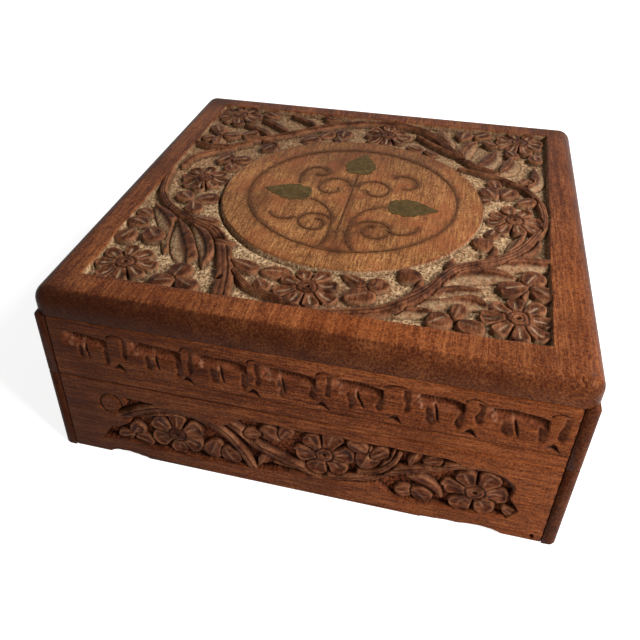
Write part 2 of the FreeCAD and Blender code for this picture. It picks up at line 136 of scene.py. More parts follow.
# Stems of the top: points as place and half width
top_stems = (
    ((2, -88, 3.0), (14, -84, 3.2), (25, -80, 3.4), (34, -72, 3.2), (41, -63, 2.6), (45.5, -53, 2.2),
     (50, -46, 2.4), (58, -40.5, 2.6), (66, -35.5, 2.6), (74, -26.5, 2.4), (80, -14, 2.2), (83.5, -2, 2.1),
     (82, 14, 2.2), (76, 26, 2.3), (66, 34, 2.4), (55, 38, 2.2), (46, 40.5, 1.6)),
    ((-88, 6, 2.0), (-86, -6, 2.0), (-82.5, -17, 2.0), (-75.5, -26.5, 2.1), (-66, -33.5, 2.3),
     (-57, -37.5, 2.6), (-49, -42, 3.0), (-42.5, -51, 3.4), (-38, -62, 3.8), (-34.5, -73, 4.2),
     (-32, -86, 4.4)),
    ((-32, -68, 1.6), (-25, -76, 1.8), (-14, -80.5, 1.8), (-3, -85, 1.8)),
    ((-62, 46, 1.4), (-52, 53, 1.8), (-41, 61.5, 2.3), (-31, 70, 2.6), (-20, 77.5, 2.6), (-8, 82.5, 2.6),
     (6, 85, 2.5), (20, 82.5, 2.5), (30, 75, 2.4), (37, 65, 2.2), (44, 54, 2.2), (52, 45, 2.2),
     (62, 39.5, 2.0)),
    ((22, 72.5, 1.1), (30, 64.5, 1.5), (39, 57, 1.6), (47, 51, 1.2)),
    ((-87, 38, 1.4), (-78, 36, 1.8), (-68, 38.5, 2.0), (-60, 44, 1.6)),
    ((-84, 12, 1.4), (-82, 22, 1.8), (-74, 31, 1.8), (-66, 37, 1.4)),
)

# Long leaves: points as place and half width. The left half, along the way that the points run, is flat,
# and the right half is gouged down to the ground from a sharp edge between them.
top_blades = (
    ((46.5, -57.5, 0.6), (50, -50.6, 3.0), (56.5, -47.0, 3.8), (64, -46.0, 3.2), (71, -46.6, 0.6)),
    ((60, -40, 0.6), (67, -37.6, 2.6), (75, -35.6, 3.2), (85, -34.4, 2.6)),
    ((34, -74.5, 0.5), (40.5, -69.0, 2.8), (48, -65.8, 3.6), (56, -65.2, 3.0), (63, -67.4, 0.6)),
    ((38, -67.5, 0.5), (44.5, -63.6, 1.8), (52, -60.0, 2.2), (59.5, -58.2, 0.6)),
    ((26, -80, 0.6), (33, -77.2, 1.6), (40, -76, 1.5), (46, -75.8, 0.4)),
    ((-81.5, -28.5, 0.8), (-74.5, -35.4, 2.8), (-68.0, -44.2, 3.4), (-64.8, -53, 2.8), (-63.9, -61, 0.6)),
    ((-67, -38, 0.8), (-62.7, -46, 2.8), (-58.6, -54, 4.2), (-55, -60.6, 4.0), (-53.0, -65, 1.6)),
    ((-60, -39.5, 0.6), (-54, -45.5, 2.2), (-49.7, -52.5, 2.6), (-46.6, -60, 2.0), (-45.6, -67, 0.4)),
    ((-52.5, 54, 0.5), (-55, 60, 2.4), (-61, 64.5, 2.8), (-69, 66, 0.6)),
    ((-43, 61, 0.5), (-48, 67.5, 2.5), (-54, 72.5, 2.6), (-62, 75, 0.6)),
    ((-30, 71.5, 0.5), (-34, 77, 2.3), (-40, 81.5, 2.4), (-48, 84, 0.5)),
    ((39, 62, 0.5), (38.5, 69, 2.5), (35.5, 76, 2.7), (33.5, 84, 0.6)),
    ((47, 51, 0.5), (46.8, 58, 2.3), (48.6, 66, 2.4), (52, 73, 0.5)),
    ((54, 44, 0.5), (58, 49.5, 3.0), (61, 56, 3.2), (62, 64, 0.6)),
    ((64, 40, 0.5), (68, 46, 2.7), (70, 53, 2.7), (70, 60, 0.5)),
    ((76, 27, 0.5), (80, 33, 2.4), (81.5, 41, 2.4), (80, 50, 0.5)),
    ((-72, 33, 0.5), (-76, 40, 2.4), (-77.5, 48, 2.4), (-76, 57, 0.5)),
    ((75, -13, 0.5), (72.5, -19, 1.8), (71, -24, 1.8), (68, -30, 0.5)),
    ((81, -17, 0.4), (79.5, -22, 1.6), (77, -27, 1.5), (73, -30.5, 0.4)),
)

# Round lobes of leaves and buds: place, half length, half width, heading in degrees, height below the
# frame and depth of the vein
top_lobes = (
    (71.2, -53.2, 5.6, 4.6, 205, 0.3, 0.5), (78.2, -45.8, 5.2, 4.4, 62, 0.2, 0.5),
    (81.6, -53.6, 5.0, 4.2, 318, 0.4, 0.5), (46.2, -79.2, 4.8, 4.2, 40, 0.3, 0.4),
    (52.6, -72.8, 4.8, 2.8, 78, 0.2, 0.2), (57.2, -80.6, 4.8, 4.4, 340, 0.1, 0.1),
    (17.0, -71.2, 6.0, 5.0, 30, 0.7, 0.2), (13.2, -62.2, 5.4, 2.8, 330, 0.6, 0.2),
    (22.6, -63.6, 4.4, 4.0, 60, 0.6, 0.1), (33.2, -55.0, 4.8, 4.7, 60, 0.0, 0.0),
    (59.2, -25.0, 4.8, 4.4, 100, 0.0, 0.0), (-72.0, -16.2, 4.6, 4.0, 140, 0.3, 0.4),
    (-61.2, -16.2, 5.2, 4.2, 30, 0.3, 0.3), (-64.8, -25.0, 5.2, 4.0, 290, 0.2, 0.6),
    (-55.0, -34.2, 5.6, 2.4, 350, 0.4, 0.2), (-83.0, -42.4, 4.8, 4.0, 160, 0.4, 0.4),
    (-73.2, -50.6, 5.8, 4.6, 310, 0.2, 0.4), (-83.6, -53.6, 5.2, 4.2, 250, 0.3, 0.5),
    (-83.4, -34.6, 4.0, 3.2, 150, 0.4, 0.3), (-52.4, -73.2, 5.4, 4.6, 80, 0.4, 0.2),
    (-57.0, -80.6, 5.0, 4.4, 200, 0.5, 0.2), (-47.0, -80.8, 4.8, 4.2, 330, 0.4, 0.2),
    (-29.5, -62.6, 6.4, 3.6, 338, 0.8, 0.3), (-17.0, -64.2, 5.6, 3.6, 8, 0.8, 0.3),
    (-42.2, -49.2, 4.6, 1.9, 350, 0.5, 0.1), (-20.0, -73.5, 4.0, 3.2, 300, 0.8, 0.2),
    (-49.2, 40.6, 4.4, 4.2, 60, 0.1, 0.2), (-66.4, 24.0, 5.2, 4.0, 60, 0.2, 0.4),
    (-58.4, 24.6, 5.0, 3.8, 20, 0.3, 0.4), (-61.0, 16.0, 4.4, 3.6, 300, 0.3, 0.3),
    (-72.0, 51.4, 4.8, 3.8, 200, 0.3, 0.4), (-82.0, 57.6, 4.8, 3.8, 120, 0.3, 0.4),
    (-63.4, 55.4, 4.6, 3.6, 40, 0.4, 0.3), (-83.0, 46.0, 3.8, 3.0, 210, 0.4, 0.3),
    (-30.8, 55.8, 5.2, 4.4, 40, 0.1, 0.3), (-24.0, 63.4, 4.8, 4.0, 60, 0.2, 0.3),
    (-15.6, 66.2, 5.2, 4.4, 90, 0.2, 0.4), (-15.8, 58.6, 4.6, 3.4, 300, 0.3, 0.2),
    (-58.6, 82.6, 4.8, 4.0, 150, 0.3, 0.3), (-25.6, 84.8, 4.4, 2.4, 170, 0.3, 0.2),
    (22.2, 58.0, 4.4, 3.4, 330, 0.3, 0.3), (30.6, 54.2, 4.2, 2.6, 320, 0.3, 0.2),
    (45.0, 79.6, 5.0, 4.2, 80, 0.3, 0.4), (54.2, 81.6, 4.8, 3.8, 40, 0.3, 0.3),
    (58.6, 72.4, 4.2, 3.4, 330, 0.4, 0.3), (69.2, 63.0, 4.0, 3.2, 300, 0.4, 0.3),
    (80.2, 60.4, 4.2, 3.4, 280, 0.4, 0.3), (60.4, 19.4, 5.2, 4.2, 120, 0.2, 0.4),
    (68.2, 21.0, 5.0, 4.0, 60, 0.2, 0.4), (62.0, 28.0, 4.4, 3.2, 100, 0.3, 0.3),
    (76.0, 14.6, 4.6, 3.4, 30, 0.3, 0.3), (57.6, 11.6, 3.4, 2.8, 190, 0.4, 0.3),
    (75.6, 34.0, 3.8, 2.8, 60, 0.4, 0.2), (62.6, -15.6, 3.8, 2.8, 250, 0.5, 0.3),
)

# Hooked stalks that carry the buds: points as place and half width
top_stalks = (
    ((29, -78, 1.4), (34, -71, 1.9), (37, -64, 1.8), (38, -58.5, 1.3), (36.6, -54, 0.8)),
    ((57, -42, 1.4), (62, -36, 1.7), (64, -29.5, 1.4), (62.6, -24, 0.8)),
    ((49, -49, 1.0), (47.6, -44.5, 2.0), (48.4, -38.8, 0.6)),
    ((73, -46, 0.5), (76, -50, 0.9), (75.5, -56, 0.9), (74, -62, 0.6)),
    ((-54, 49, 0.8), (-47.5, 47.6, 1.2), (-45, 42, 0.8)),
)

# Dark holes in the carving: place, radius and depth
top_holes = (
    (-36.6, -73.8, 1.7, 3.4), (-69.0, -7.4, 2.0, 3.4), (57.4, -32.4, 2.3, 3.6), (72.9, -71.8, 0.9, 2.2),
)

# Base board, seen from outside: outline of the sunk ground as places along the board and up
board_ground = (
    (-71, 34.8), (-58, 34.2), (-56, 32.6), (-47, 33.0), (-38, 31.0), (-30, 28.4), (-24, 32.8), (-21, 35.6),
    (57, 35.7), (63, 33.8), (71, 33.4), (79, 31.4), (83, 27.2), (82, 21), (86, 15), (82.5, 9.5),
    (72, 9.2), (60, 8.4), (40, 8.4), (33, 14), (24, 12.5), (13, 10.2), (2, 10.6), (-8, 9.8), (-17, 7.8),
    (-40, 7.4), (-60, 7.2), (-74, 9.5), (-84, 8), (-79, 15), (-70, 20.5), (-76, 25), (-70, 31),
)
board_flowers = ((-49, 18.4, 11.4, 30, 0.2), (12, 23.8, 11.8, 12, 0.3), (69.5, 19.8, 11.8, 0, 0.2))
board_stems = (
    ((-97, 16.4, 0.9), (-86, 19, 1.3), (-76, 21.4, 1.8), (-66, 27, 2.0), (-57, 31, 2.1), (-47, 32.4, 2.1),
     (-38, 30.4, 2.1), (-29, 25.4, 2.0), (-23, 18.4, 1.9), (-18.5, 10.4, 2.0), (-16, 6, 1.8)),
    ((-31, 34.5, 1.4), (-23, 28.4, 2.0), (-15, 21.4, 2.2), (-8, 18, 2.2), (0, 14.8, 2.0), (9, 11.8, 1.9),
     (19, 12.2, 2.0), (29, 15.8, 2.2), (37, 21.2, 2.2), (44, 24.6, 2.2), (53, 28, 2.0), (62, 32, 1.7),
     (71, 33.6, 1.5), (79, 31.6, 1.4), (83, 26, 1.0)),
    ((26, 18, 0.8), (33, 20.4, 1.2), (38, 26, 1.3), (40.5, 31.6, 0.8)),
)
board_blades = (
    ((-70, 24, 0.5), (-62, 25.4, 2.0), (-55, 27.6, 2.0), (-49, 29, 0.4)),
    ((-14, 10, 0.6), (-11.6, 14, 2.2), (-10.6, 18, 0.6)),
    ((-8, 13.6, 0.5), (-2, 12.4, 2.0), (4, 11.6, 0.5)),
    ((43, 21.4, 0.5), (48.4, 20, 2.4), (54, 17, 2.2), (57.6, 13.4, 0.4)),
    ((45, 26.6, 0.5), (46.6, 30.4, 2.0), (47, 34, 0.5)),
    ((30.5, 17.5, 0.4), (35, 21.5, 1.6), (37.6, 27.5, 1.6), (38.6, 33, 0.4)),
)
board_lobes = (
    (-33.4, 14.4, 5.2, 4.2, 250, 0.2, 0.4), (-26.6, 12.4, 4.8, 4.0, 300, 0.3, 0.4),
    (-9.4, 29.2, 4.8, 3.8, 150, 0.3, 0.4), (-3.6, 31.2, 3.8, 2.8, 60, 0.4, 0.2),
    (-16.8, 27.2, 3.8, 2.6, 200, 0.5, 0.2), (28.6, 26.0, 5.8, 4.6, 70, 0.2, 0.4),
    (24.8, 31.8, 4.2, 3.4, 150, 0.3, 0.3), (33.0, 30.0, 4.0, 2.8, 40, 0.4, 0.3),
    (-67.4, 16.0, 4.2, 3.4, 60, 0.4, 0.3), (-64.6, 11.2, 4.2, 3.0, 340, 0.4, 0.3),
    (-72.6, 11.6, 3.8, 2.8, 200, 0.5, 0.3), (44.0, 12.2, 3.8, 3.0, 200, 0.4, 0.3),
    (50.2, 12.4, 4.4, 3.6, 320, 0.3, 0.2), (83.4, 12.4, 3.6, 2.4, 330, 0.3, 0.3),
    (52.6, 31.6, 3.6, 2.4, 20, 0.5, 0.2),
)
bud_ring = (-75.6, 29.6, 4.7)
chips = ((-72.4, 7.6, 2.2), (-64.8, 2.4, 0.9), (72.0, 8.6, 2.2), (62.0, 11.0, 1.1), (79.0, 2.5, 0.8))
chip_rise = 9.0
nail_mark = (92.6, 2.6, 0.8)

# The carver's layout of the base board is a little short and low: what is carved on it shifts and shrinks
board_shift = 0.43
board_scale = 0.99
board_lift = 0.2

# Lid strip: each scoop's left and right end and the middle of the slot below it, places along the strip
scoops = (
    (-91.0, -72.0, -81.5), (-64.0, -42.5, -53.0), (-38.0, -17.0, -27.0), (-12.0, 8.5, -4.0),
    (14.0, 32.5, 24.0), (42.0, 60.0, 50.8), (66.5, 87.5, 77.0),
)
scoop_crown = 65.3
scoop_low = 58.0
scoop_depth = 2.9
scoop_left_slope = 0.9
slot_low = 53.4
slot_half_width = 1.1
slot_depth = 1.8
slot_lean = 0.3
flute_shares = ((0.30, 0.49), (0.86, 1.02))
flute_low = 51.4
flute_high = 59.5
flute_depth = 1.35
tongue_flute_width = 2.6
tongue_crown = 66.6
rib_pitch = 1.25
rib_depth = 0.5
arch_depth = 1.5
notch_depth = 1.5
notch_slope = 2.2
notch_outline = ((-3.4, 49.9), (-0.4, 53.2), (0.8, 52.4), (2.8, 48.6), (1.0, 49.4))
scribe_height = 48.4
scribe_depth = 0.35


def ease(low, high, value):
    """Smooth step from 0 at low to 1 at high."""
    share = np.clip((value - low) / (high - low), 0, 1)
    return share * share * (3 - 2 * share)


def bump(value, reach):
    """1 at zero, falling smoothly to 0 at the reach on both sides."""
    return 1 - ease(0, reach, np.abs(value))


def blur(field, passes):
    """Each cell as the mean of itself and its neighbours, repeated."""
    for _ in range(passes):
        wide = np.pad(field, ((1, 1), (0, 0)), mode="edge")
        field = (wide[:-2] + 2 * field + wide[2:]) / 4
        wide = np.pad(field, ((0, 0), (1, 1)), mode="edge")
        field = (wide[:, :-2] + 2 * field + wide[:, 2:]) / 4
    return field


def mottle(u, v, pitch, seed):
    """A smooth random field from -1 to 1 over a grid, with features of about the pitch."""
    draw = np.random.RandomState(seed)
    place_u = (u - u[0]) / pitch
    place_v = (v - v[0]) / pitch
    lattice = draw.uniform(-1, 1, (int(place_u[-1]) + 3, int(place_v[-1]) + 3))
    cell_u = place_u.astype(int)
    cell_v = place_v.astype(int)
    share_u = ease(0, 1, place_u - cell_u)[:, None]
    share_v = ease(0, 1, place_v - cell_v)[None, :]
    corner = [[lattice[np.ix_(cell_u + i, cell_v + j)] for j in (0, 1)] for i in (0, 1)]
    near = corner[0][0] * (1 - share_v) + corner[0][1] * share_v
    far = corner[1][0] * (1 - share_v) + corner[1][1] * share_v
    return near * (1 - share_u) + far * share_u


def pecks(u, v, pitch_u, pitch_v, seed):
    """Punch marks of a pointed tool, one in each cell of a loose grid: 1 in a mark and 0 between marks."""
    draw = np.random.RandomState(seed)
    place_u, place_v = np.meshgrid((u - u[0]) / pitch_u + 1, (v - v[0]) / pitch_v + 1, indexing="ij")
    cell_u = place_u.astype(int)
    cell_v = place_v.astype(int)
    jitter = draw.uniform(0.1, 0.9, (2, cell_u.max() + 2, cell_v.max() + 2))
    nearest = np.full(place_u.shape, np.inf)
    for i in (-1, 0, 1):
        for j in (-1, 0, 1):
            off_u = place_u - cell_u - i - jitter[0, cell_u + i, cell_v + j]
            off_v = place_v - cell_v - j - jitter[1, cell_u + i, cell_v + j]
            nearest = np.minimum(nearest, np.hypot(off_u, off_v))
    return 1 - ease(0.18, 0.5, nearest)


def smooth_line(points, per_span=10):
    """A smooth line through the points, with their widths carried along."""
    p = np.array(points, float)
    padded = np.vstack([2 * p[0] - p[1], p, 2 * p[-1] - p[-2]])
    t = np.linspace(0, 1, per_span, endpoint=False)[:, None]
    spans = []
    for a, b, c, d in zip(padded, padded[1:], padded[2:], padded[3:]):
        spans.append(b + 0.5 * t * (c - a + t * (2 * a - 5 * b + 4 * c - d + t * (3 * (b - c) + d - a))))
    return np.vstack(spans + [p[-1:]])


class Relief:
    """Heights over a flat face in millimetres. Zero is the face, and less than zero is cut into it."""

    def __init__(self, u, v):
        self.u = u
        self.v = v
        self.height = np.zeros((len(u), len(v)))
        self.work = np.zeros_like(self.height)
        self.pale = np.zeros_like(self.height)
        self.dusty = np.zeros_like(self.height)
        self.open = np.ones_like(self.height)

    def window(self, low_u, high_u, low_v, high_v):
        """The cells within limits, with their places."""
        rows = slice(*np.searchsorted(self.u, (low_u, high_u)))
        columns = slice(*np.searchsorted(self.v, (low_v, high_v)))
        u, v = np.meshgrid(self.u[rows], self.v[columns], indexing="ij")
        return (rows, columns), u, v

    def stand(self, cells, outside, surface, pale=0.0, dusty=0.0):
        """Leaves a form standing. Outside is the distance out from its outline, negative within, pale is
        how pale its veins are and dusty is how much dust its surface holds."""
        height = self.height[cells]
        trench = (outside < trench_width) & (self.open[cells] > 0.5)
        height = np.where(trench, np.minimum(height, surface - trench_depth), height)
        form = surface - wall_slope * np.maximum(outside, 0)
        higher = (form > height) & (outside < trench_width)
        self.work[cells] = np.where(higher, 1.0, self.work[cells])
        self.pale[cells] = np.where(higher, pale, self.pale[cells])
        self.dusty[cells] = np.where(higher, dusty, self.dusty[cells])
        self.height[cells] = np.maximum(height, form)

    def ribbon(self, points, top, section):
        """A band along a smooth line. The section gives its drop and its dust from the side share."""
        line = smooth_line(points)
        margin = line[:, 2].max() + 2.5
        cells, u, v = self.window(line[:, 0].min() - margin, line[:, 0].max() + margin,
                                  line[:, 1].min() - margin, line[:, 1].max() + margin)
        outside = np.full(u.shape, np.inf)
        side = np.zeros_like(u)
        for a, b in zip(line, line[1:]):
            run_u, run_v = b[0] - a[0], b[1] - a[1]
            share = np.clip(((u - a[0]) * run_u + (v - a[1]) * run_v) / (run_u ** 2 + run_v ** 2), 0, 1)
            off_u = u - a[0] - share * run_u
            off_v = v - a[1] - share * run_v
            half = a[2] + share * (b[2] - a[2])
            distance = np.hypot(off_u, off_v)
            nearer = distance - half < outside
            outside = np.where(nearer, distance - half, outside)
            facing = np.sign(run_u * off_v - run_v * off_u)
            side = np.where(nearer, np.clip(facing * distance / half, -1, 1), side)
        drop, dusty = section(side)
        self.stand(cells, outside, -top - drop, 0.0, dusty)

    def flower(self, centre_u, centre_v, radius, petals, turn, top):
        """A flower with cupped petals, a dusty vein along each, a ringed boss and a small hole."""
        reach = radius + 2
        cells, u, v = self.window(centre_u - reach, centre_u + reach, centre_v - reach, centre_v + reach)
        distance = np.hypot(u - centre_u, v - centre_v)
        phase = (np.arctan2(v - centre_v, u - centre_u) - math.radians(turn)) * petals / (2 * math.pi)
        number = np.round(phase)
        across = np.abs(phase - number) * 2
        share = distance / (radius * (1 + 0.06 * np.sin(number * 2.4 + centre_u)))
        outside = (share - 1 + 0.3 * across ** 3) * radius
        share = np.clip(share, 0, 1)
        cup = petal_cup * (1 - across ** 2) * ease(0.34, 0.6, share) * (1 - ease(0.84, 1.0, share))
        gap = petal_gap * ease(0.78, 0.97, across) * ease(0.3, 0.5, share)
        vein = bump(distance * across * math.pi / petals, vein_half_width)
        vein = vein * ease(0.4, 0.5, share) * (1 - ease(0.74, 0.9, share))
        tilt = petal_tilt * np.sin(number * 1.9 + centre_v) * ease(0.3, 0.7, share)
        boss = boss_groove * bump(share - 0.31, 0.06) - boss_dome * (1 - ease(0.12, 0.26, share))
        hole = flower_hole * (1 - ease(0.05, 0.1, share)) + boss_ring * bump(share - 0.16, 0.04)
        drop = cup + gap + tilt + petal_vein * vein + boss + hole + petal_droop * share ** 2
        self.stand(cells, outside, -top - np.maximum(drop, 0), vein_paleness * vein)

    def lobe(self, centre_u, centre_v, half_length, half_across, heading, top, vein):
        """A domed lobe of a leaf, or a bud, with a dusty vein."""
        reach = half_length + 2
        cells, u, v = self.window(centre_u - reach, centre_u + reach, centre_v - reach, centre_v + reach)
        angle = math.radians(heading)
        along = ((u - centre_u) * math.cos(angle) + (v - centre_v) * math.sin(angle)) / half_length
        across = (-(u - centre_u) * math.sin(angle) + (v - centre_v) * math.cos(angle)) / half_across
        across = across / (1 + 0.22 * along)
        rho = np.hypot(along, across)
        outside = (rho - 1) * half_across
        rho = np.clip(rho, 0, 1)
        line = bump(across * half_across, vein_half_width)
        line = line * ease(-0.9, -0.7, along) * (1 - ease(0.4, 0.6, along))
        cup = lobe_cup * ease(0.05, 0.5, np.abs(across)) * (1 - rho ** 2) if vein else 0
        dome = lobe_droop * rho ** 3 if vein else bud_droop * rho ** 4
        pale = lobe_paleness * vein * line
        self.stand(cells, outside, -top - dome - vein * line - cup, pale)

    def polygon(self, outline):
        """Distance out from a closed outline over the whole grid, negative within."""
        u, v = np.meshgrid(self.u, self.v, indexing="ij")
        outside = np.full(u.shape, np.inf)
        within = np.zeros(u.shape, bool)
        for (a_u, a_v), (b_u, b_v) in zip(outline, outline[1:] + outline[:1]):
            run_u, run_v = b_u - a_u, b_v - a_v
            share = np.clip(((u - a_u) * run_u + (v - a_v) * run_v) / (run_u ** 2 + run_v ** 2), 0, 1)
            outside = np.minimum(outside, np.hypot(u - a_u - share * run_u, v - a_v - share * run_v))
            crosses = (a_v > v) != (b_v > v)
            if run_v:
                within ^= crosses & (u < a_u + (v - a_v) / run_v * run_u)
        return np.where(within, -outside, outside)

    def finish(self, seed, step, peck_u, peck_v, peck_depth, ground_light):
        """Softens the edges, adds tool marks and works out where dust shows, where hollows take dirt and
        painted shade, and where edges take wear and painted highlights.
        """
        self.height = 0.85 * self.height + 0.15 * blur(self.height, 1)
        self.work = np.clip(blur(self.work, 1), 0, 1)
        self.pale = np.clip(self.pale, 0, 1)
        deep = ease(0.5, 1.1, -self.height)
        self.ground = deep * (1 - self.work)
        marks = pecks(self.u, self.v, peck_u, peck_v, seed)
        self.pit = marks * self.ground
        uneven = ground_unevenness * mottle(self.u, self.v, 2.6, seed + 1) * self.ground
        knife = knife_depth * mottle(self.u, self.v, 2.3, seed + 2)
        knife = (knife + fine_knife_depth * mottle(self.u, self.v, 1.1, seed + 3)) * self.work
        self.height = np.minimum(self.height + uneven + knife - peck_depth * self.pit, 0)
        wide = blur(self.height, int(2 * (0.9 / step) ** 2))
        near = blur(self.height, int(2 * (0.5 / step) ** 2) + 1)
        broad = 0.75 * np.clip((wide - self.height) / broad_cavity, 0, 1)
        self.cavity = np.maximum(broad, np.clip((near - self.height) / narrow_cavity, 0, 1))
        self.cavity *= 1 - ground_light * self.ground
        # Raised edges lightened, partly as wear and partly as a painted highlight
        self.edge = np.clip((self.height - near) / edge_wear_and_highlight, 0, 1) * self.work


# Sections of bands: drop and dust across a band, from -1 at its right to 1 at its left
def stem_section(side):
    grooves = 0.7 * bump(side - 0.35, 0.2) + 0.3 * bump(side + 0.3, 0.16)
    return 0.3 * ease(0.6, 1.0, np.abs(side)) + 0.6 * np.clip(0.1 - side, 0, 1.1) + grooves, 0.0


def blade_section(side):
    slope = np.clip((0.2 - side) / 1.2, 0, 1)
    drop = 0.25 * np.clip(side, 0, 1) ** 2 + 0.4 * ease(0, 0.06, slope) + 1.8 * slope ** 0.85
    return drop, 0.65 * ease(0.2, 0.6, slope)


def stalk_section(side):
    return 0.3 + 0.6 * side ** 2, 0.0


def on_field(points):
    """Places on the top as they are carved on its field. Values after the first two are kept."""
    placed = np.array(points, float)
    x = placed[:, 0].copy()
    y = placed[:, 1].copy()
    share = (x - field_left) * (y - field_front) / (field_back - field_front) ** 2
    placed[:, 0] = x + drift_right + drift_corner * share
    placed[:, 1] = y - drift_front * (1 - (y / half_depth) ** 2)
    return placed


def widened(points, share):
    """The points of a band with its half widths times a share."""
    points[:, 2] *= share
    return points


def on_board(points):
    """Places on a base board as they are carved. Values after the first two are kept."""
    placed = np.array(points, float)
    placed[:, 0] = board_shift + board_scale * placed[:, 0]
    placed[:, 1] += board_lift
    return placed


def carve_top():
    """The top: a frame, the sunk ground, the medallion and everything carved between them."""
    reach_u = half_width - roundover
    reach_v = half_depth - roundover
    u = np.linspace(-reach_u, reach_u, int(2 * reach_u / top_step) + 1)
    v = np.linspace(-reach_v, reach_v, int(2 * reach_v / top_step) + 1)
    relief = Relief(u, v)
    grid_u, grid_v = np.meshgrid(u, v, indexing="ij")
    from_medallion = np.hypot(grid_u - medallion_x, grid_v - medallion_y) - medallion_radius
    from_medallion += 0.25 * mottle(u, v, 11.0, 2)
    back_share = (grid_v - field_front) / (field_back - field_front)
    right_edge = field_right_front + (field_right_back - field_right_front) * back_share
    inside = np.minimum(np.minimum(grid_u - field_left, right_edge - grid_u),
                        np.minimum(grid_v - field_front, field_back - grid_v)) + 0.35 * mottle(u, v, 9.0, 3)
    depth = field_depth_by_medallion + (field_depth - field_depth_by_medallion) * ease(1, 16, from_medallion)
    depth = depth + 0.2 * mottle(u, v, 14.0, 4)
    relief.height = -np.clip(np.minimum(inside, from_medallion) * wall_slope, 0, depth)
    relief.open = ((inside > 0) & (from_medallion > 0)).astype(float)
    for points in top_stalks:
        relief.ribbon(on_field(points), 0.1, stalk_section)
    for points in top_blades:
        relief.ribbon(widened(on_field(points), blade_widening), 0.1, blade_section)
    for points in top_stems:
        relief.ribbon(widened(on_field(points), stem_widening), 0.0, stem_section)
    for lobe in on_field(top_lobes):
        relief.lobe(*lobe)
    for centre_u, centre_v, radius, turn, top in on_field(top_flowers):
        relief.flower(centre_u, centre_v, radius, 8, turn, top)
    for hole_u, hole_v, radius, floor in on_field(top_holes):
        hole = np.hypot(grid_u - hole_u, grid_v - hole_v)
        relief.height = np.minimum(relief.height, -floor * (1 - ease(0.75 * radius, 1.1 * radius, hole)))
    toward = -(grid_u - medallion_x + 1.4 * (grid_v - medallion_y))
    front_left = np.clip(toward / (1.7 * medallion_radius), 0, 1)
    relief.height -= (0.5 + 1.6 * front_left) * bump(from_medallion - 0.3, 0.7 + 0.5 * front_left)
    relief.medal = ease(0.1, 0.6, -from_medallion)
    relief.height -= (medallion_drop + 0.05 * (1 + mottle(u, v, 12.0, 5))) * relief.medal
    relief.work *= 1 - relief.medal
    plain = np.maximum(relief.medal, (inside < 0).astype(float))
    relief.height -= flat_unevenness * (1 + mottle(u, v, 1.7, 6)) * plain
    relief.finish(11, top_step, 1.5, 1.9, 0.2, 0.5)
    relief.ground *= 1 - relief.medal
    relief.pit *= 1 - relief.medal
    worn_front = np.exp(-((grid_u - 2) / 26) ** 2 - ((grid_v + 74) / 13) ** 2)
    worn_right = np.exp(-((grid_u - 62) / 26) ** 2 - ((grid_v + 52) / 26) ** 2)
    dusty = np.maximum(relief.ground, relief.dusty) * (1 - 0.3 * worn_right)
    # Less pale dust toward the back left: this lessening is painted shade
    relief.dust = dusty * (1 - 0.65 * worn_front) * (0.5 + 0.5 * ease(70, -50, grid_v - 0.3 * grid_u))
    return relief


def carve_board(u, v):
    """A base board, seen from outside: a vine with flowers in a sunk ground."""
    relief = Relief(u, v)
    outline = tuple(map(tuple, on_board(board_ground)))
    outside = relief.polygon(outline) + 0.4 * mottle(u, v, 6.0, 5)
    relief.height = -np.clip(-outside * wall_slope, 0, board_depth + 0.3 * mottle(u, v, 9.0, 6))
    relief.open = (outside < 0).astype(float)
    for points in board_blades:
        relief.ribbon(widened(on_board(points), blade_widening), 0.2, blade_section)
    for points in board_stems:
        relief.ribbon(on_board(points), 0.0, stem_section)
    for lobe in on_board(board_lobes):
        relief.lobe(*lobe)
    for centre_u, centre_v, radius, turn, top in on_board(board_flowers):
        relief.flower(centre_u, centre_v, radius, 6, turn, top)
    grid_u, grid_v = np.meshgrid(u, v, indexing="ij")
    bud = np.hypot(grid_u - bud_ring[0], (grid_v - bud_ring[1]) * 0.9) - bud_ring[2]
    relief.height -= 0.8 * bump(bud, 0.8) * ease(-7, 2, grid_v - grid_u - 98)
    mark = np.hypot(grid_u - nail_mark[0], (grid_v - nail_mark[1]) * 0.6)
    relief.height -= 1.6 * (1 - ease(nail_mark[2] * 0.7, nail_mark[2], mark))
    relief.finish(21, board_step, 1.3, 2.2, 0.3, 0.0)
    relief.dust = np.maximum(relief.ground, 0.4 * relief.dusty) * 0.7
    return relief


